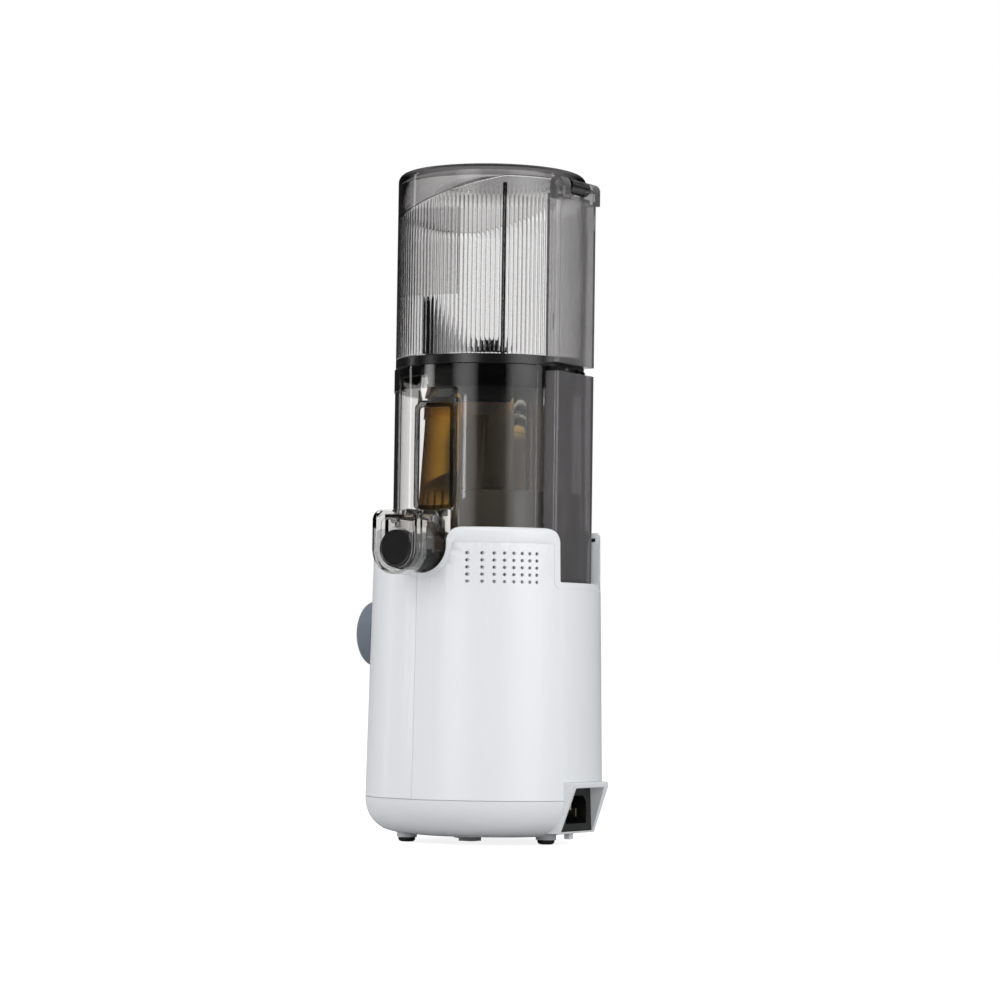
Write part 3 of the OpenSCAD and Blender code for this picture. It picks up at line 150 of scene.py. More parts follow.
class JuicerColours(bpy.types.PropertyGroup):
    """Colours of the juicer's plastics, seals and metals."""

    shell: colour("Shell", "White of the housing", (0.76, 0.78, 0.80))
    pan: colour("Pan", "White of the pan and the inlet's hood", (0.70, 0.72, 0.74))
    knob: colour("Knob", "Blue grey of the knob", (0.14, 0.165, 0.20))
    smoke: colour("Smoke", "What white light keeps after 4 mm of the hopper", (0.96, 0.955, 0.955))
    column: colour("Column", "Smoke of the column behind the hopper", (0.61, 0.60, 0.605))
    lid: colour("Lid", "What white light keeps after 4 mm of the lid", (0.42, 0.41, 0.41))
    bowl: colour("Bowl", "What white light keeps after 4 mm of the bowl", (0.93, 0.92, 0.90))
    cap: colour("Cap", "What white light keeps after 4 mm of the spout cap", (0.86, 0.85, 0.84))
    bin: colour("Bin", "Smoke of the pulp bin", (0.38, 0.37, 0.38))
    amber: colour("Strainer", "What white light keeps after 4 mm of the strainer",
                  (0.52, 0.29, 0.03))
    wing: colour("Wing", "What white light keeps after 4 mm of the feed wing", (0.32, 0.32, 0.32))
    guide: colour("Guide", "Brown grey of the pulp guide", (0.07, 0.06, 0.047))
    screw: colour("Auger", "Black of the auger and the hopper's ring", (0.005, 0.005, 0.005))
    rubber: colour("Rubber", "Black of feet and seals", (0.005, 0.005, 0.005))
    board: colour("Board", "Green of the circuit board", (0.02, 0.12, 0.05))
    gear: colour("Gears", "Natural nylon of the gears", (0.62, 0.52, 0.32))
    copper: colour("Copper", "Enamelled windings", (0.55, 0.2, 0.06))
    steel: colour("Steel", "Ground steel", (0.55, 0.55, 0.57))
    cast: colour("Casting", "Die cast alloy", (0.45, 0.46, 0.48))


class JuicerSizes(bpy.types.PropertyGroup):
    """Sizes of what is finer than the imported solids."""

    flutes: bpy.props.IntProperty(
        name="Flutes", description="Flutes round the hopper", min=60, max=180, default=130)
    flute_depth: bpy.props.FloatProperty(
        name="Flute depth", description="Depth of a flute", unit="LENGTH",
        min=0.0, max=0.001, default=0.00045)
    edge: bpy.props.FloatProperty(
        name="Edge", description="Rounding of moulded edges", unit="LENGTH",
        min=0.0, max=0.001, default=0.0004)


# ---- Node groups: effects that several finishes share ----

def group_tree(name, inputs, outputs):
    """An empty node group with its sockets, and its two end nodes."""
    tree = bpy.data.node_groups.new(name, "ShaderNodeTree")
    for label, kind, default in inputs:
        made = tree.interface.new_socket(name=label, in_out="INPUT", socket_type=kind)
        made.default_value = default
    for label, kind in outputs:
        tree.interface.new_socket(name=label, in_out="OUTPUT", socket_type=kind)
    return tree, tree.nodes.new("NodeGroupInput"), tree.nodes.new("NodeGroupOutput")


def math_node(tree, operation, a, b=None, clamp=False):
    """A Math node; a and b are sockets or numbers."""
    node = tree.nodes.new("ShaderNodeMath")
    node.operation, node.use_clamp = operation, clamp
    for i, value in enumerate((a, b)):
        if value is None:
            continue
        if isinstance(value, (int, float)):
            node.inputs[i].default_value = value
        else:
            tree.links.new(value, node.inputs[i])
    return node.outputs[0]


def noise_node(tree, place, scale, detail=4.0):
    """The value of a noise texture; scale is a socket or a number."""
    node = tree.nodes.new("ShaderNodeTexNoise")
    node.inputs["Detail"].default_value = detail
    node.inputs["Roughness"].default_value = 0.55
    tree.links.new(place, node.inputs["Vector"])
    if isinstance(scale, (int, float)):
        node.inputs["Scale"].default_value = scale
    else:
        tree.links.new(scale, node.inputs["Scale"])
    return node.outputs["Fac"]


def moulded_skin_group():
    """Fine spark-eroded texture of a mould: a height, and a slow change of gloss and tone."""
    tree, start, end = group_tree(
        "moulded_skin",
        [("Colour", "NodeSocketColor", (1, 1, 1, 1)), ("Grain scale", "NodeSocketFloat", 2600.0),
         ("Gloss", "NodeSocketFloat", 0.35), ("Gloss change", "NodeSocketFloat", 0.06),
         ("Tone change", "NodeSocketFloat", 0.02)],
        [("Colour", "NodeSocketColor"), ("Roughness", "NodeSocketFloat"),
         ("Height", "NodeSocketFloat")])
    place = tree.nodes.new("ShaderNodeTexCoord").outputs["Object"]
    grain = noise_node(tree, place, start.outputs["Grain scale"], 2.0)
    slow = math_node(tree, "SUBTRACT", noise_node(tree, place, 38.0), 0.5)
    gloss = math_node(tree, "MULTIPLY", slow, start.outputs["Gloss change"])
    rough = math_node(tree, "ADD", start.outputs["Gloss"], gloss, clamp=True)
    tone = math_node(tree, "MULTIPLY", slow, start.outputs["Tone change"])
    tone = math_node(tree, "ADD", tone, 1.0)
    mix = tree.nodes.new("ShaderNodeVectorMath")
    mix.operation = "SCALE"
    tree.links.new(start.outputs["Colour"], mix.inputs[0])
    tree.links.new(tone, mix.inputs["Scale"])
    tree.links.new(mix.outputs[0], end.inputs["Colour"])
    tree.links.new(rough, end.inputs["Roughness"])
    tree.links.new(grain, end.inputs["Height"])
    return tree


def worn_edge_group():
    """A mask that is bright on convex edges, broken up by noise."""
    tree, start, end = group_tree(
        "worn_edge",
        [("Amount", "NodeSocketFloat", 0.5), ("Breakup scale", "NodeSocketFloat", 300.0)],
        [("Mask", "NodeSocketFloat")])
    point = tree.nodes.new("ShaderNodeNewGeometry").outputs["Pointiness"]
    place = tree.nodes.new("ShaderNodeTexCoord").outputs["Object"]
    ramp = tree.nodes.new("ShaderNodeMapRange")
    ramp.inputs["From Min"].default_value = 0.52
    ramp.inputs["From Max"].default_value = 0.60
    tree.links.new(point, ramp.inputs["Value"])
    breakup = noise_node(tree, place, start.outputs["Breakup scale"])
    mask = math_node(tree, "MULTIPLY", ramp.outputs[0], breakup)
    tree.links.new(math_node(tree, "MULTIPLY", mask, start.outputs["Amount"], clamp=True),
                   end.inputs["Mask"])
    return tree


def reed_shade_group():
    """A mask for painted shade: bright in the valleys between upright reeds round the drive axis.
    """
    tree, start, end = group_tree(
        "reed_valley_shade",
        [("Count", "NodeSocketFloat", 130.0), ("Width", "NodeSocketFloat", 0.25),
         ("Back", "NodeSocketFloat", 1.0), ("Top", "NodeSocketFloat", 1.0),
         ("Middle", "NodeSocketFloat", 1.0), ("Slope", "NodeSocketFloat", 0.0)],
        [("Mask", "NodeSocketFloat")])
    place = tree.nodes.new("ShaderNodeTexCoord").outputs["Object"]
    split = tree.nodes.new("ShaderNodeSeparateXYZ")
    tree.links.new(place, split.inputs[0])
    angle = math_node(tree, "ARCTAN2", split.outputs["Y"], split.outputs["X"])
    turn = math_node(tree, "MULTIPLY", angle, start.outputs["Count"])
    wave = math_node(tree, "COSINE", turn)
    ramp = tree.nodes.new("ShaderNodeMapRange")
    ramp.interpolation_type = "SMOOTHSTEP"
    tree.links.new(wave, ramp.inputs["Value"])
    tree.links.new(math_node(tree, "SUBTRACT", 1.0, start.outputs["Width"]),
                   ramp.inputs["From Min"])
    lean = math_node(tree, "MULTIPLY", split.outputs["Y"], start.outputs["Slope"])
    edge = math_node(tree, "MINIMUM", start.outputs["Top"],
                     math_node(tree, "ADD", start.outputs["Middle"], lean))
    below = math_node(tree, "LESS_THAN", split.outputs["Z"], edge)
    ahead = math_node(tree, "LESS_THAN", split.outputs["Y"], start.outputs["Back"])
    reeds = math_node(tree, "MULTIPLY", below, ahead)
    tree.links.new(math_node(tree, "MULTIPLY", ramp.outputs[0], reeds), end.inputs["Mask"])
    return tree


def clear_skin_group():
    """Gloss of a clear moulding, and faint upright streaks along its height: the mask for painted
    reflections.
    """
    tree, start, end = group_tree(
        "clear_skin",
        [("Gloss", "NodeSocketFloat", 0.03), ("Smear", "NodeSocketFloat", 0.03),
         ("Flow scale", "NodeSocketFloat", 60.0)],
        [("Roughness", "NodeSocketFloat"), ("Height", "NodeSocketFloat")])
    place = tree.nodes.new("ShaderNodeTexCoord").outputs["Object"]
    stretch = tree.nodes.new("ShaderNodeMapping")
    stretch.inputs["Scale"].default_value = (1.0, 1.0, 0.05)
    tree.links.new(place, stretch.inputs["Vector"])
    flow = noise_node(tree, stretch.outputs[0], start.outputs["Flow scale"], 2.0)
    smear = math_node(tree, "MULTIPLY", noise_node(tree, place, 90.0), start.outputs["Smear"])
    tree.links.new(math_node(tree, "ADD", start.outputs["Gloss"], smear, clamp=True),
                   end.inputs["Roughness"])
    tree.links.new(flow, end.inputs["Height"])
    return tree


GROUPS = {}


def group_node(tree, name, **values):
    """Places a shared group in a material, with this material's own values."""
    node = tree.nodes.new("ShaderNodeGroup")
    node.node_tree = GROUPS[name]
    for label, value in values.items():
        label = label.replace("_", " ").capitalize()
        node.inputs[label].default_value = (*value, 1) if hasattr(value, "__len__") else value
    return node


def fresh_material(name):
    """A new material with its node tree and its main shader."""
    material = bpy.data.materials.new(name)
    material.use_nodes = True
    tree = material.node_tree
    return material, tree, tree.nodes["Principled BSDF"]


def bump(tree, shader, height, distance):
    """Raises the surface by a height of at most the distance."""
    node = tree.nodes.new("ShaderNodeBump")
    node.inputs["Distance"].default_value = distance
    tree.links.new(height, node.inputs["Height"])
    tree.links.new(node.outputs["Normal"], shader.inputs["Normal"])


def scaled(tint, factor):
    """A colour made brighter or darker."""
    return tuple(min(1, c * factor) for c in tint)


def two_tone(tree, shader, first, second, share):
    """Base colour that goes from the first colour to the second one with a mask."""
    mix = tree.nodes.new("ShaderNodeMix")
    mix.data_type = "RGBA"
    mix.inputs["A"].default_value = (*first, 1)
    mix.inputs["B"].default_value = (*second, 1)
    tree.links.new(share, mix.inputs["Factor"])
    tree.links.new(mix.outputs["Result"], shader.inputs["Base Color"])


def moulded(name, tint, gloss, grain=0.00002, scale=2600.0, change=0.06, tone=0.02, coat=0.0):
    """An opaque moulded plastic with the skin of its mould."""
    material, tree, shader = fresh_material(name)
    skin = group_node(tree, "moulded_skin", colour=tint, grain_scale=scale, gloss=gloss,
                      gloss_change=change, tone_change=tone)
    tree.links.new(skin.outputs["Colour"], shader.inputs["Base Color"])
    tree.links.new(skin.outputs["Roughness"], shader.inputs["Roughness"])
    bump(tree, shader, skin.outputs["Height"], grain)
    shader.inputs["IOR"].default_value = 1.5
    shader.inputs["Coat Weight"].default_value = coat
    shader.inputs["Coat Roughness"].default_value = 0.08
    return material


def rubbery(name, tint, gloss):
    """A soft seal or foot: dull, with a faint sheen of dust."""
    material = moulded(name, tint, gloss, grain=0.00004, scale=1500.0, change=0.12, tone=0.2)
    shader = material.node_tree.nodes["Principled BSDF"]
    shader.inputs["Sheen Weight"].default_value = 0.08
    shader.inputs["Sheen Roughness"].default_value = 0.5
    return material


def metallic(name, tint, gloss, stretch=(1.0, 1.0, 1.0), wear=0.3):
    """A machined metal with turning marks and brighter edges."""
    material, tree, shader = fresh_material(name)
    place = tree.nodes.new("ShaderNodeTexCoord").outputs["Object"]
    marks = tree.nodes.new("ShaderNodeMapping")
    marks.inputs["Scale"].default_value = stretch
    tree.links.new(place, marks.inputs["Vector"])
    noise = noise_node(tree, marks.outputs[0], 900.0)
    edge = group_node(tree, "worn_edge", amount=wear, breakup_scale=400.0)
    two_tone(tree, shader, tint, scaled(tint, 1.5), edge.outputs["Mask"])
    rough = math_node(tree, "MULTIPLY", math_node(tree, "SUBTRACT", noise, 0.5), 0.15)
    tree.links.new(math_node(tree, "ADD", rough, gloss, clamp=True), shader.inputs["Roughness"])
    bump(tree, shader, noise, 0.00001)
    shader.inputs["Metallic"].default_value = 1.0
    return material


def absorbing(tree, kept):
    """Darkens the inside of a clear plastic; kept is what 4 mm of it leaves of white light."""
    loss = [-math.log(max(c, 0.001)) / SAMPLE_THICKNESS for c in kept]
    node = tree.nodes.new("ShaderNodeVolumeAbsorption")
    density = max(loss)
    node.inputs["Color"].default_value = (*(1 - c / density for c in loss), 1)
    node.inputs["Density"].default_value = density
    tree.links.new(node.outputs[0], tree.nodes["Material Output"].inputs["Volume"])


def clear(name, kept, gloss=0.01, smear=0.02, reflection_streaks=0.0, shade=0.25, weight=1.0,
          tint=(1.0, 1.0, 1.0)):
    """A see-through moulded plastic; shade is the share of a lamp's light that it holds back."""
    material, tree, shader = fresh_material(name)
    skin = group_node(tree, "clear_skin", gloss=gloss, smear=smear, flow_scale=60.0)
    tree.links.new(skin.outputs["Roughness"], shader.inputs["Roughness"])
    # Painted reflection: upright streaks lighten and darken the base colour, standing for soft
    # reflections
    if reflection_streaks:
        two_tone(tree, shader, scaled(tint, 1 - reflection_streaks), scaled(tint, 1 + reflection_streaks),
                 skin.outputs["Height"])
    else:
        shader.inputs["Base Color"].default_value = (*tint, 1)
    shader.inputs["Transmission Weight"].default_value = weight
    shader.inputs["IOR"].default_value = CLEAR_IOR
    absorbing(tree, kept)
    shadow = tree.nodes.new("ShaderNodeLightPath").outputs["Is Shadow Ray"]
    passed = math_node(tree, "MULTIPLY", shadow, 1.0 - shade)
    tree.links.new(math_node(tree, "SUBTRACT", 1.0, passed), shader.inputs["Alpha"])
    return material


def reeded(name, kept, count):
    """Clear plastic with painted shade in thin valleys between its reeds, standing for the dark
    lines that refraction draws there.
    """
    material = clear(name, kept)
    tree = material.node_tree
    valleys = group_node(tree, "reed_valley_shade", count=float(count), width=VALLEY_WIDTH,
                         back=REED_BACK, top=REED_TOP, middle=SKIRT_MID_Z - 1.5 * MM,
                         slope=SKIRT_SLOPE)
    # Painted shade: the base colour darkens in each valley, standing for the dark lines of
    # refraction
    two_tone(tree, tree.nodes["Principled BSDF"], (1, 1, 1), [VALLEY_SHADE] * 3,
             valleys.outputs["Mask"])
    return material


def collar_shaded(name, kept):
    """Clear plastic with painted shade on the collar at its upper edge, standing for the darkness
    of the thicker collar and the ring behind it.
    """
    material = clear(name, kept)
    tree = material.node_tree
    height = tree.nodes.new("ShaderNodeSeparateXYZ")
    tree.links.new(tree.nodes.new("ShaderNodeTexCoord").outputs["Object"],
                   height.inputs["Vector"])
    # Painted shade: the base colour goes from white under the collar to COLLAR_SHADE on it
    shade = tree.nodes.new("ShaderNodeMapRange")
    shade.interpolation_type = "SMOOTHSTEP"
    for label, value in (("From Min", COLLAR_Z - 1 * MM), ("From Max", COLLAR_Z + 1 * MM),
                         ("To Min", 1.0), ("To Max", COLLAR_SHADE)):
        shade.inputs[label].default_value = value
    tree.links.new(height.outputs["Z"], shade.inputs["Value"])
    tree.links.new(shade.outputs["Result"], tree.nodes["Principled BSDF"].inputs["Base Color"])
    return material


MATERIALS = {}


def make_materials(tint, sizes):
    """Every finish of the juicer; tint holds the user's colours."""
    GROUPS["moulded_skin"] = moulded_skin_group()
    GROUPS["worn_edge"] = worn_edge_group()
    GROUPS["clear_skin"] = clear_skin_group()
    GROUPS["reed_valley_shade"] = reed_shade_group()
    made = {
        "shell": moulded("shell_white", tint.shell, 0.34, coat=0.15),
        "pan": moulded("pan_white", tint.pan, 0.42),
        "deck": moulded("deck_white", tint.pan, 0.38),
        "knob": moulded("knob_blue_grey", tint.knob, 0.45, grain=0.00003),
        "reeds": reeded("hopper_reeds", tint.smoke, sizes.flutes),
        # Painted reflection: upright streaks in the column's colour
        "column": clear("column_smoke", (0.8, 0.8, 0.8), gloss=0.12, smear=0.05, weight=0.9,
                        tint=tint.column, reflection_streaks=0.2),
        "lid": clear("lid_smoke", tint.lid),
        "bowl": collar_shaded("bowl_clear", tint.bowl),
        "cap": clear("cap_smoke", tint.cap),
        "vane": clear("vane_smoke", (0.58, 0.57, 0.57)),
        "bead": clear("bead_smoke", (0.06, 0.06, 0.06)),
        # Painted reflection: upright streaks in the bin's colour, standing for its soft vertical
        # reflections
        "bin": clear("bin_smoke", (0.9, 0.9, 0.9), gloss=0.05, smear=0.05, weight=0.86,
                     tint=tint.bin, reflection_streaks=0.5),
        "wing": clear("wing_smoke", tint.wing, gloss=0.05, smear=0.05),
        "amber": clear("strainer_amber", tint.amber, gloss=0.25, smear=0.1, shade=0.5),
        "guide": moulded("guide_brown", tint.guide, 0.3),
        "screw": moulded("auger_black", tint.screw, 0.2, change=0.1),
        "rubber": rubbery("foot_rubber", tint.rubber, 0.6),
        "silicone": rubbery("seal_silicone", tint.rubber, 0.45),
        "socket": moulded("socket_black", tint.screw, 0.4),
        "contact": metallic("contact_plated", (0.6, 0.55, 0.42), 0.25, (4.0, 1.0, 1.0)),
        "steel": metallic("steel_ground", tint.steel, 0.3, (1.0, 1.0, 6.0)),
        "zinc": metallic("steel_zinc", (0.42, 0.43, 0.45), 0.35),
        "cast": metallic("alloy_cast", tint.cast, 0.5, wear=0.5),
        "laminated": metallic("steel_laminated", (0.18, 0.18, 0.19), 0.45, (1.0, 1.0, 12.0)),
        "copper": metallic("winding_enamelled", tint.copper, 0.3, (1.0, 1.0, 30.0)),
        "gear": moulded("gear_nylon", tint.gear, 0.4),
        "board": moulded("board_green", tint.board, 0.3),
    }
    MATERIALS.update(made)


# ---- Mesh helpers ----

BEVEL_ANGLE = math.radians(40)
WELD_DISTANCE = 0.000004
FLAT_ANGLE = math.radians(0.6)


def finish_object(name, mesh, material, body, replaces=()):
    """Puts a mesh into the scene as a piece that moves with a body."""
    piece = bpy.data.objects.new(name, mesh)
    bpy.context.scene.collection.objects.link(piece)
    mesh.materials.clear()
    mesh.materials.append(MATERIALS[material])
    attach(piece, body)
    if replaces:
        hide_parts(*replaces)
    return piece


def smooth_by_angle(mesh, angle=32):
    """Shades a mesh smooth, apart from edges sharper than the angle in degrees."""
    for polygon in mesh.polygons:
        polygon.use_smooth = True
    mesh.set_sharp_from_angle(angle=math.radians(angle))


def rounded(piece, width, segments=2):
    """Rounds the sharp edges of a piece and evens out its shading."""
    bevel = piece.modifiers.new("moulded_edge", "BEVEL")
    bevel.width, bevel.segments = width, segments
    bevel.limit_method, bevel.angle_limit = "ANGLE", BEVEL_ANGLE
    bevel.harden_normals = True
    return piece


def mesh_of(bm, name, angle=32):
    """Turns an edited mesh into a finished one with its faces outwards."""
    bmesh.ops.recalc_face_normals(bm, faces=bm.faces)
    mesh = bpy.data.meshes.new(name)
    bm.to_mesh(mesh)
    bm.free()
    smooth_by_angle(mesh, angle)
    return mesh


def turned(name, ring_at, steps, angle):
    """A solid turned round Z; ring_at(i) gives the (radius, height) outline at a step."""
    bm = bmesh.new()
    rows = []
    for i in range(steps):
        a = 2 * math.pi * i / steps
        rows.append([bm.verts.new((r * math.cos(a), r * math.sin(a), z)) for r, z in ring_at(i)])
    for this, after in zip(rows, rows[1:] + rows[:1]):
        for k in range(len(this)):
            m = (k + 1) % len(this)
            bm.faces.new((this[k], after[k], after[m], this[m]))
    return mesh_of(bm, name, angle)


def arc(cx, cz, r, a0, a1, steps):
    """Points of an arc in the (radius, height) plane, angles in degrees."""
    return [(cx + r * math.cos(math.radians(a0 + (a1 - a0) * i / steps)),
             cz + r * math.sin(math.radians(a0 + (a1 - a0) * i / steps)))
            for i in range(steps + 1)]


def refined(node, material, edge=0.0):
    """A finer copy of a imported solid: welded, shaded smooth and with rounded edges."""
    source = frame["nodes"][node]
    mesh = source.data.copy()
    bm = bmesh.new()
    bm.from_mesh(mesh)
    bmesh.ops.remove_doubles(bm, verts=bm.verts, dist=WELD_DISTANCE)
    bmesh.ops.dissolve_limit(bm, angle_limit=FLAT_ANGLE, verts=bm.verts, edges=bm.edges)
    bm.to_mesh(mesh)
    bm.free()
    smooth_by_angle(mesh)
    piece = finish_object(node + "_skin", mesh, material, source["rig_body"], (node,))
    if edge:
        rounded(piece, edge)
    return piece


def loose(mesh):
    """An object for a mesh, with the mesh's name."""
    made = bpy.data.objects.new(mesh.name, mesh)
    bpy.context.scene.collection.objects.link(made)
    return made


def boolean(piece, mesh, operation="DIFFERENCE"):
    """Cuts a mesh out of a piece, or joins it to the piece."""
    cutter = loose(mesh)
    cut = piece.modifiers.new("cut", "BOOLEAN")
    cut.operation, cut.object, cut.solver = operation, cutter, "EXACT"
    bpy.context.view_layer.update()
    graph = bpy.context.evaluated_depsgraph_get()
    result = bpy.data.meshes.new_from_object(piece.evaluated_get(graph))
    piece.modifiers.remove(cut)
    old, piece.data = piece.data, result
    bpy.data.meshes.remove(old)
    bpy.data.objects.remove(cutter)
    smooth_by_angle(result)


def prism(outline, low, high, axis="Z", name="prism"):
    """A solid with the outline (pairs of metres) drawn along an axis from low to high."""
    order = {"X": lambda u, v, w: (w, u, v), "Y": lambda u, v, w: (u, w, v),
             "Z": lambda u, v, w: (u, v, w)}[axis]
    bm = bmesh.new()
    ends = [[bm.verts.new(order(u, v, w)) for u, v in outline] for w in (low, high)]
    bm.faces.new(ends[0])
    bm.faces.new(ends[1])
    for i in range(len(outline)):
        j = (i + 1) % len(outline)
        bm.faces.new((ends[0][i], ends[0][j], ends[1][j], ends[1][i]))
    return mesh_of(bm, name)


def round_box(cx, cy, w, h, r):
    """Outline of a rectangle with rounded corners."""
    points = []
    for sx, sy, a in ((1, 1, 0), (-1, 1, 90), (-1, -1, 180), (1, -1, 270)):
        points += arc(cx + sx * (w / 2 - r), cy + sy * (h / 2 - r), r, a, a + 90, 6)
    return points


def block(low, high, name="block"):
    """A box between two corners."""
    (x0, y0, z0), (x1, y1, z1) = low, high
    return prism([(x0, y0), (x1, y0), (x1, y1), (x0, y1)], z0, z1, name=name)


def dress(material, *nodes):
    """Gives carried-over solids their finish."""
    for node in nodes:
        mesh = frame["nodes"][node].data
        mesh.materials.clear()
        mesh.materials.append(MATERIALS[material])


# ---- Hopper ----

def skirt_edge(a):
    """Height of the lid's slanting edge at an angle round the drive axis."""
    return min(RIM_Z, max(SKIRT_LOW_Z, SKIRT_MID_Z + SKIRT_SLOPE * HOPPER_R * math.sin(a)))


def fluted_tube(flutes, depth):
    """The hopper's wall: reeds outside, a smooth bore, and a rim stepped in under the skirt."""
    count = flutes * REED_STEPS

    def ring_at(i):
        a = 2 * math.pi * i / count
        x = 2 * (i % REED_STEPS) / REED_STEPS - 1
        reed = depth * (1 - math.sqrt(1 - REED_BULGE * x * x))
        if HOPPER_R * math.sin(a) > REED_BACK:
            reed = 0.0
        edge = skirt_edge(a) - SKIRT_GAP
        top = min(REED_TOP, edge - 1.2 * MM)
        return [(INNER_R, SHELL_Z), (HOPPER_R - 0.4 * MM, SHELL_Z), (HOPPER_R, SHELL_Z + 0.5 * MM),
                (HOPPER_R, SHELL_Z + 1.0 * MM), (HOPPER_R - reed, SHELL_Z + 1.8 * MM),
                (HOPPER_R - reed, top - 0.8 * MM), (HOPPER_R, top), (HOPPER_R, edge - 0.4 * MM),
                (HOPPER_R - 0.4 * MM, edge), (RIM_R, edge), (RIM_R, RIM_Z - 0.4 * MM),
                (RIM_R - 0.3 * MM, RIM_Z), (INNER_R, RIM_Z)]

    return turned("hopper_wall", ring_at, count, 38)


def column_outline(inset):
    """Plan of the column behind the hopper, from the round wall to the rear face."""
    half, back = COLUMN_W / 2 - inset, BIN_HIGH.y - inset
    r = HOPPER_R - 0.2 * MM - inset * 0.2
    start = math.asin(half / r)
    wall = [(r * math.sin(start - 2 * start * i / 24), r * math.cos(start - 2 * start * i / 24))
            for i in range(25)]
    corner = 2.2 * MM - inset * 0.4
    return (wall + arc(-half + corner, back - corner, corner, 180, 90, 6)
            + arc(half - corner, back - corner, corner, 90, 0, 6))


def ear_profile(base):
    """Side view of an ear: a round eye on a straight foot."""
    return (arc(HINGE_Y, HINGE_Z, HINGE_R, 0, 180, 20)
            + [(HINGE_Y - HINGE_R, base), (HINGE_Y + HINGE_R, base)])


def hopper_column():
    """Hollow column behind the hopper, with the hinge's ears, catches and slots."""
    low, high = HOPPER_LOW.z, HINGE_Z - HINGE_R - 1.6 * MM
    half = COLUMN_W / 2
    column = loose(prism(column_outline(0), low, high, name="hopper_column"))
    boolean(column, prism(column_outline(COLUMN_WALL), low - MM, high - COLUMN_WALL))
    for side in (-1, 1):
        inner, outer = side * (half - EAR_W), side * half
        ear = prism(ear_profile(high - 3 * MM), min(inner, outer), max(inner, outer), "X")
        boolean(column, ear, "UNION")
        catch = block((outer - 0.8 * MM, HINGE_Y - 5.5 * MM, low + 20 * MM),
                      (outer + 0.8 * MM, HINGE_Y - 1.0 * MM, low + 30 * MM))
        boolean(column, catch, "UNION")
        slot = block((outer - 0.6 * MM, HINGE_Y - 3.5 * MM, high - 18 * MM),
                     (outer + 0.6 * MM, HINGE_Y - 2.0 * MM, high - 8 * MM))
        boolean(column, slot)
    return column


def hopper_rib():
    """Upright rib on the hopper's inner wall."""
    c, s = math.cos(RIB_ANGLE), math.sin(RIB_ANGLE)
    front, back = INNER_R - 2.2 * MM, INNER_R - 0.1 * MM
    corners = [(front, -RIB_HALF_W), (back, -RIB_HALF_W), (back, RIB_HALF_W), (front, RIB_HALF_W)]
    return prism([(r * c - t * s, r * s + t * c) for r, t in corners],
                 SHELL_Z + 0.1 * MM, RIM_Z - 4 * MM, name="hopper_rib")


def guide_vane():
    """Plate inside the hopper that guides food on to the wing."""
    far_y = -math.sqrt(INNER_R ** 2 - (VANE_X + VANE_T) ** 2) + 0.3 * MM
    return block((VANE_X, far_y, VANE_Z), (VANE_X + VANE_T, -2 * MM, RIM_Z - 16 * MM), "guide_vane")


# ---- Bowl, spout and cap ----

def spout_outline(half, top, corner=0.0):
    """Section of the spout: a round bottom, upright sides and a top with rounded corners."""
    points = arc(SPOUT_Y, SPOUT_AXIS_Z, half, 180, 360, 32)
    if corner:
        return (points + arc(SPOUT_Y + half - corner, top - corner, corner, 0, 90, 8)
                + arc(SPOUT_Y - half + corner, top - corner, corner, 90, 180, 8))
    return points + [(SPOUT_Y + half, top), (SPOUT_Y - half, top)]


def hollow_channel(bowl):
    """Takes the spout's channel out to thin walls, with its front wall left."""
    inner = spout_outline(SPOUT_HALF - 4.8 * MM, CAP_HIGH.z - 3.8 * MM, 2 * MM)
    boolean(bowl, prism(inner, BOWL_RIM_R + 2.5 * MM, CHANNEL_END_X - 1.8 * MM, "X"))


def spout_cap():
    """Cap in front of the spout: a plate with a bead round it, a trough and two arms."""
    skin, front, back = 1.8 * MM, CAP_HIGH.x, CHANNEL_END_X - 3 * MM
    top, corner = CAP_HIGH.z, 6 * MM
    arm_r, bore_r = 4.8 * MM, 1.7 * MM
    cap = loose(prism(spout_outline(SPOUT_HALF, top, corner), back, front, "X", "spout_cap_skin"))
    inner = prism(spout_outline(SPOUT_HALF - skin, top + 9 * MM), back - MM, front - 2.2 * MM, "X")
    boolean(cap, inner)
    for inset, low, high in ((2.8 * MM, front - 0.8 * MM, front + MM),
                             (5.2 * MM, front - 3 * MM, front - 1.6 * MM)):
        pocket = spout_outline(SPOUT_HALF - inset, top - inset, corner - inset / 2)
        boolean(cap, prism(pocket, low, high, "X"))
    for side in (-1, 1):
        outer = SPOUT_Y + side * SPOUT_HALF
        arm = (arc(PIN_X, PIN_Z, arm_r, 90, 270, 16)
               + [(front - 1.6 * MM, PIN_Z - arm_r), (front - 1.6 * MM, PIN_Z - 1.5 * MM),
                  (back + 3 * MM, PIN_Z + arm_r)])
        low, high = sorted((outer, outer - side * skin))
        boolean(cap, prism(arm, low, high, "Y"), "UNION")
        bore = arc(PIN_X, PIN_Z, bore_r, 0, 345, 23)
        boolean(cap, prism(bore, low - MM, high + MM, "Y"))
    return cap


def window_frame():
    """Bead round the window over the spout."""
    def outline(inset):
        w, h = (size - 2 * inset for size in WINDOW_SIZE)
        return round_box(*WINDOW_MIDDLE, w, h, 4 * MM - inset * 0.6)

    bead = loose(prism(outline(0.15 * MM), WINDOW_X + 0.1 * MM, WINDOW_X + 1.9 * MM, "X",
                       "window_frame"))
    boolean(bead, prism(outline(3.3 * MM), WINDOW_X - MM, WINDOW_X + 3 * MM, "X"))
    return bead


# ---- Auger ----

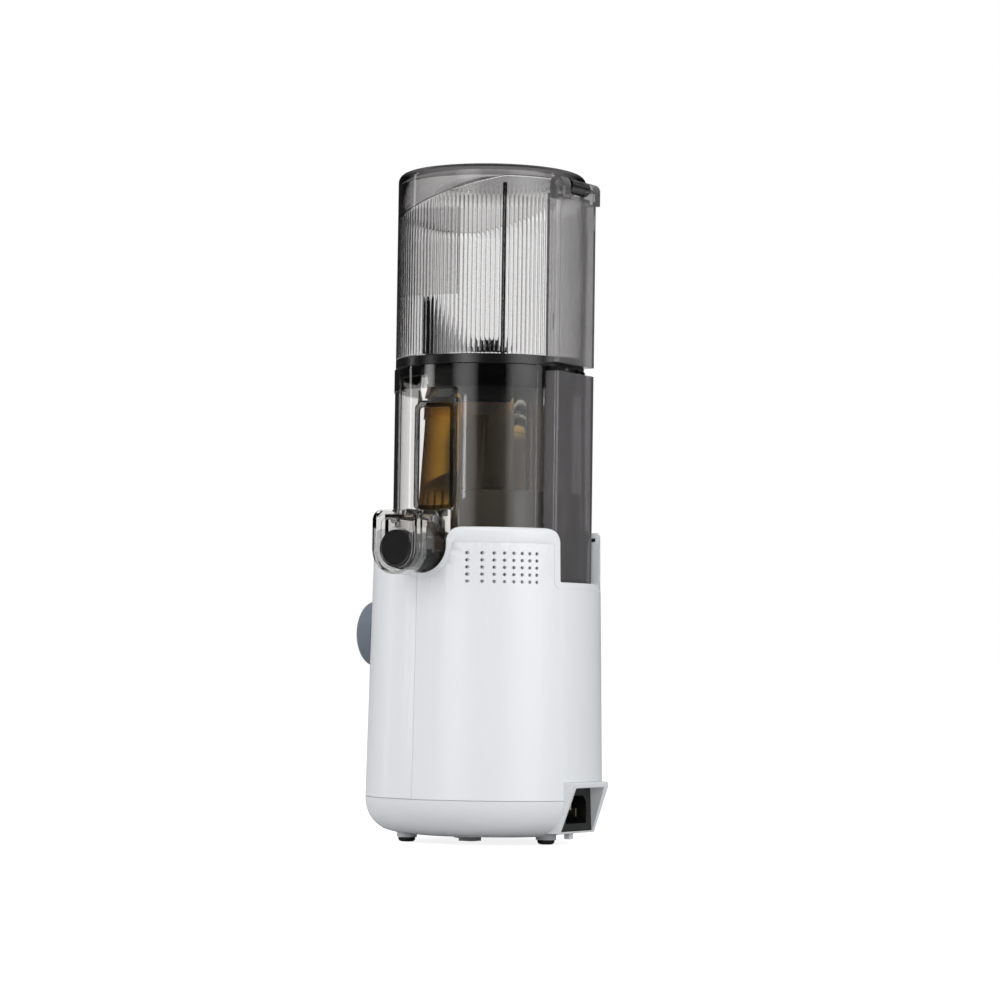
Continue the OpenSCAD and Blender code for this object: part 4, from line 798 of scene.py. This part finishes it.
def auger_core():
    """Barrel of the auger between its flights, as full as it looks through the strainer."""
    inner_r, barrel_r = 0.004, 0.0265
    low, high = AUGER_LOW.z + 34 * MM, AUGER_HIGH.z - 1 * MM
    outline = [(inner_r, low), (0.016, low), (0.0235, low + 9 * MM), (barrel_r, low + 24 * MM),
               (barrel_r, high - 22 * MM), (0.0245, high - 10 * MM), (0.018, high - 3 * MM),
               (0.014, high), (inner_r, high)]
    return turned("auger_core", lambda i: outline, 96, 40)


# ---- Operators: one for each piece or group of like pieces ----

class JuicerPieceOperator:
    """What the operators that build pieces have in common."""

    bl_options = {"REGISTER", "UNDO"}

    def execute(self, context):
        self.build(context.scene.juicer_sizes)
        return {"FINISHED"}


class JUICER_OT_finishes(bpy.types.Operator):
    """Make every finish"""
    bl_idname = "juicer.finishes"
    bl_label = "Finishes"

    def execute(self, context):
        make_materials(context.scene.juicer_colours, context.scene.juicer_sizes)
        return {"FINISHED"}


class JUICER_OT_base(JuicerPieceOperator, bpy.types.Operator):
    """Housing, deck, pan, inlet hood and feet"""
    bl_idname = "juicer.base"
    bl_label = "Base"

    def build(self, sizes):
        refined("rear_housing", "shell", edge=sizes.edge)
        refined("front_cover", "shell", edge=sizes.edge)
        refined("deck_plate", "deck", edge=sizes.edge)
        refined("bottom_pan", "pan", edge=sizes.edge)
        refined("inlet_hood", "pan", edge=sizes.edge)
        dress("rubber", "rubber_feet")
        dress("socket", "power_inlet")
        dress("contact", "inlet_pins")
        dress("zinc", "housing_screws")


class JUICER_OT_knob(JuicerPieceOperator, bpy.types.Operator):
    """Speed knob"""
    bl_idname = "juicer.knob"
    bl_label = "Speed knob"

    def build(self, sizes):
        refined("speed_knob", "knob", edge=sizes.edge)


class JUICER_OT_bowl(JuicerPieceOperator, bpy.types.Operator):
    """Juice bowl with its spout and window"""
    bl_idname = "juicer.bowl"
    bl_label = "Juice bowl"

    def build(self, sizes):
        hollow_channel(refined("juice_bowl", "bowl"))
        refined("pulp_guide", "guide", edge=sizes.edge)
        dress("silicone", "bowl_seal")
        bead = window_frame()
        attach(bead, "bowl")
        bead.data.materials.append(MATERIALS["bead"])
        rounded(bead, sizes.edge)


class JUICER_OT_cap(JuicerPieceOperator, bpy.types.Operator):
    """Spout cap with its plug and pins"""
    bl_idname = "juicer.cap"
    bl_label = "Spout cap"

    def build(self, sizes):
        cap = spout_cap()
        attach(cap, "cap")
        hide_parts("spout_cap")
        cap.data.materials.append(MATERIALS["cap"])
        rounded(cap, sizes.edge)
        refined("cap_plug", "silicone", edge=sizes.edge)
        refined("cap_pins", "steel", edge=sizes.edge)


class JUICER_OT_press(JuicerPieceOperator, bpy.types.Operator):
    """Strainer and auger"""
    bl_idname = "juicer.press"
    bl_label = "Strainer and auger"

    def build(self, sizes):
        refined("strainer", "amber")
        refined("auger", "screw")
        finish_object("auger_core", auger_core(), "screw", "screw")
        refined("feed_wing", "wing", edge=sizes.edge)
        dress("steel", "drive_insert")


class JUICER_OT_hopper(JuicerPieceOperator, bpy.types.Operator):
    """Fluted hopper, its column, ring and hinge pin"""
    bl_idname = "juicer.hopper"
    bl_label = "Hopper"

    def build(self, sizes):
        finish_object("hopper_wall", fluted_tube(sizes.flutes, sizes.flute_depth),
                      "reeds", "hopper", ("hopper_shell",))
        column = hopper_column()
        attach(column, "hopper")
        column.data.materials.append(MATERIALS["column"])
        rounded(finish_object("hopper_rib", hopper_rib(), "screw", "hopper"),
                0.9 * MM, 3)
        finish_object("guide_vane", guide_vane(), "vane", "hopper")
        refined("hopper_ring", "screw", edge=sizes.edge)
        dress("steel", "hinge_pin")


class JUICER_OT_lid(JuicerPieceOperator, bpy.types.Operator):
    """Hinged lid"""
    bl_idname = "juicer.lid"
    bl_label = "Lid"

    def build(self, sizes):
        refined("hopper_lid", "lid", edge=sizes.edge / 2)


class JUICER_OT_bin(JuicerPieceOperator, bpy.types.Operator):
    """Pulp bin behind the bowl"""
    bl_idname = "juicer.bin"
    bl_label = "Pulp bin"

    def build(self, sizes):
        refined("pulp_bin", "bin", edge=sizes.edge)


class JUICER_OT_drive(JuicerPieceOperator, bpy.types.Operator):
    """Motor, gears, bearings and board inside the base"""
    bl_idname = "juicer.drive"
    bl_label = "Drive"

    def build(self, sizes):
        dress("board", "circuit_board")
        dress("socket", "board_components", "rotary_switch", "cooling_fan")
        dress("zinc", "chassis_plate", "gearbox_screws", "first_carrier", "output_carrier")
        dress("laminated", "stator_core", "rotor_core")
        dress("copper", "field_coils")
        dress("cast", "motor_end_frame", "gearbox_housing", "gearbox_cover")
        dress("steel", "lower_bearing", "upper_bearing", "output_bearing", "motor_shaft")
        dress("silicone", "shaft_seal")
        for letter in "abc":
            dress("gear", "first_planet_" + letter, "second_planet_" + letter)


# ---- Stage: floor, lamps and camera ----

CAMERA_ANGLE = math.radians(31)
CAMERA_DISTANCE = 2.0
CAMERA_AIM = Vector((-0.00386, 0.00643, 0.213))
CAMERA_AT = Vector((CAMERA_DISTANCE * math.cos(CAMERA_ANGLE),
                    CAMERA_DISTANCE * math.sin(CAMERA_ANGLE), 0.101))
CAMERA_LENS = 115.2
CAMERA_ROLL = 0.014

AMBIENT = 0.45
STUDIO = 0.02
CEILING = 0.6
CEILING_START, CEILING_END = 0.25, 0.75
PAPER = 0.55
PAPER_LIFT = 0.85
LIGHT_BOUNCES = 24
FLOOR_HALF = 60.0

# Name, place, aim, width and height, and watts
LAMPS = (
    ("lamp_left", (0.9, -1.5, 0.9), (0, 0, 0.2), (1.2, 1.6), 11),
    ("lamp_right", (0.6, 1.7, 0.8), (0, 0, 0.2), (0.9, 1.4), 2),
    ("lamp_top", (0.2, 0.0, 1.8), (0, 0, 0.2), (1.2, 1.2), 7),
)

# Lamps that also show in reflections
MIRRORED_LAMPS = (
    ("soft_left", (1.5, 0.05, 0.6), (0, 0, 0.4), (0.9, 1.3), 6),
    ("soft_right", (0.41, 1.44, 0.6), (0, 0, 0.4), (1.4, 1.3), 10),
    ("strip_left", (0.3, -1.4, 0.35), (0, 0, 0.25), (0.14, 1.4), 1.2),
    ("strip_right", (-0.5, 1.4, 0.35), (0, 0, 0.25), (0.14, 1.4), 1.2),
    ("strip_bowl", (1.2, 0.05, 0.325), (0, 0, 0.25), (0.10, 0.10), 0.16),
    ("strip_collar", (0.92, -0.92, 0.395), (0, 0, 0.28), (0.4, 0.05), 0.2),
)


def seen_directly(tree):
    """The light path node, and 1 for rays that no surface has thrown back or scattered."""
    path = tree.nodes.new("ShaderNodeLightPath")
    thrown = math_node(tree, "ADD", path.outputs["Diffuse Depth"], path.outputs["Glossy Depth"])
    return path, math_node(tree, "LESS_THAN", thrown, 0.5)


def blend(tree, a, b, share):
    """The first of two values, going over to the second as the share rises to 1."""
    node = tree.nodes.new("ShaderNodeMix")
    for label, value in (("A", a), ("B", b)):
        if isinstance(value, float):
            node.inputs[label].default_value = value
        else:
            tree.links.new(value, node.inputs[label])
    tree.links.new(share, node.inputs["Factor"])
    return node.outputs["Result"]


def white_world():
    """White where it is seen, dimmer as a light, and a dark studio with a ceiling in mirrors."""
    world = bpy.data.worlds.new("studio")
    world.use_nodes = True
    tree = world.node_tree
    back = tree.nodes["Background"]
    back.inputs["Color"].default_value = (1, 1, 1, 1)
    path, direct = seen_directly(tree)
    mirror = math_node(tree, "LESS_THAN", path.outputs["Diffuse Depth"], 0.5)
    split = tree.nodes.new("ShaderNodeSeparateXYZ")
    tree.links.new(tree.nodes.new("ShaderNodeTexCoord").outputs["Generated"], split.inputs[0])
    rise = tree.nodes.new("ShaderNodeMapRange")
    rise.interpolation_type = "SMOOTHSTEP"
    rise.inputs["From Min"].default_value = CEILING_START
    rise.inputs["From Max"].default_value = CEILING_END
    tree.links.new(split.outputs["Z"], rise.inputs["Value"])
    studio = blend(tree, STUDIO, CEILING, rise.outputs[0])
    shaded = blend(tree, AMBIENT, studio, mirror)
    tree.links.new(blend(tree, shaded, 1.0, direct), back.inputs["Strength"])
    bpy.context.scene.world = world


def floor_material():
    """White paper: bright where it is seen, and still darker where the juicer shades it."""
    material, tree, shader = fresh_material("stage_paper")
    shader.inputs["Base Color"].default_value = (PAPER, PAPER, PAPER, 1)
    shader.inputs["Roughness"].default_value = 0.9
    shader.inputs["Specular IOR Level"].default_value = 0.0
    shader.inputs["Emission Color"].default_value = (1, 1, 1, 1)
    lift = math_node(tree, "MULTIPLY", seen_directly(tree)[1], PAPER_LIFT)
    tree.links.new(lift, shader.inputs["Emission Strength"])
    return material


def fade_sideways(data):
    """Lets the light of a lamp fade towards its left and right edges."""
    data.use_nodes = True
    tree = data.node_tree
    across = tree.nodes.new("ShaderNodeSeparateXYZ")
    tree.links.new(tree.nodes.new("ShaderNodeNewGeometry").outputs["Parametric"],
                   across.inputs["Vector"])
    rest = math_node(tree, "SUBTRACT", 1.0, across.outputs["X"])
    hump = math_node(tree, "MULTIPLY", across.outputs["X"], rest)
    emission = next(n for n in tree.nodes if n.type == "EMISSION")
    # 6 x (1 - x) keeps the lamp's whole power, because its mean is 1
    tree.links.new(math_node(tree, "MULTIPLY", hump, 6.0), emission.inputs["Strength"])


def area_lamp(name, place, aim, size, power, mirrored):
    """A rectangular lamp that no camera sees, but a mirror may."""
    data = bpy.data.lights.new(name, "AREA")
    data.shape, data.size, data.size_y = "RECTANGLE", size[0], size[1]
    data.energy = power
    lamp = bpy.data.objects.new(name, data)
    bpy.context.scene.collection.objects.link(lamp)
    lamp.location = place
    lamp.rotation_euler = (Vector(aim) - Vector(place)).to_track_quat("-Z", "Y").to_euler()
    lamp.visible_camera = False
    lamp.visible_transmission = False
    lamp.visible_glossy = mirrored
    if mirrored:
        fade_sideways(data)


def camera():
    """A long lens a little under the middle of the juicer."""
    data = bpy.data.cameras.new("camera")
    data.lens, data.sensor_width = CAMERA_LENS, 36.0
    made = bpy.data.objects.new("camera", data)
    bpy.context.scene.collection.objects.link(made)
    turn = (CAMERA_AIM - CAMERA_AT).to_track_quat("-Z", "Y")
    level = turn.to_matrix().to_4x4() @ Matrix.Rotation(CAMERA_ROLL, 4, "Z")
    made.matrix_world = Matrix.Translation(CAMERA_AT) @ level
    bpy.context.scene.camera = made


class JUICER_OT_stage(bpy.types.Operator):
    """Floor, lamps, world and camera"""
    bl_idname = "juicer.stage"
    bl_label = "Stage"

    def execute(self, context):
        scene = context.scene
        scene.view_settings.view_transform = "Standard"
        scene.cycles.max_bounces = LIGHT_BOUNCES
        scene.cycles.transmission_bounces = LIGHT_BOUNCES
        white_world()
        bm = bmesh.new()
        bmesh.ops.create_grid(bm, x_segments=8, y_segments=8, size=FLOOR_HALF)
        floor = loose(mesh_of(bm, "stage_floor"))
        floor.data.materials.append(floor_material())
        for lamps, mirrored in ((LAMPS, False), (MIRRORED_LAMPS, True)):
            for lamp in lamps:
                area_lamp(*lamp, mirrored)
        camera()
        return {"FINISHED"}


OPERATORS = (JUICER_OT_finishes, JUICER_OT_base, JUICER_OT_knob, JUICER_OT_bowl, JUICER_OT_cap,
             JUICER_OT_press, JUICER_OT_hopper, JUICER_OT_lid, JUICER_OT_bin, JUICER_OT_drive,
             JUICER_OT_stage)


class JUICER_PT_panel(bpy.types.Panel):
    """Lists the juicer's pieces, sizes and colours"""
    bl_idname = "JUICER_PT_panel"
    bl_label = "Juicer"
    bl_space_type = "VIEW_3D"
    bl_region_type = "UI"
    bl_category = "Juicer"

    def draw(self, context):
        for group in (context.scene.juicer_sizes, context.scene.juicer_colours):
            box = self.layout.box()
            for name in group.bl_rna.properties.keys():
                if name not in ("rna_type", "name"):
                    box.prop(group, name)
        for operator in OPERATORS:
            self.layout.operator(operator.bl_idname)


CLASSES = (JuicerColours, JuicerSizes, *OPERATORS, JUICER_PT_panel)


def register():
    for cls in CLASSES:
        bpy.utils.register_class(cls)
    bpy.types.Scene.juicer_colours = bpy.props.PointerProperty(type=JuicerColours)
    bpy.types.Scene.juicer_sizes = bpy.props.PointerProperty(type=JuicerSizes)


def unregister():
    del bpy.types.Scene.juicer_sizes
    del bpy.types.Scene.juicer_colours
    for cls in reversed(CLASSES):
        bpy.utils.unregister_class(cls)


def main():
    register()
    for operator in OPERATORS:
        piece = operator.bl_idname.split(".")[1]
        getattr(bpy.ops.juicer, piece)()


if __name__ == "__main__":
    main()
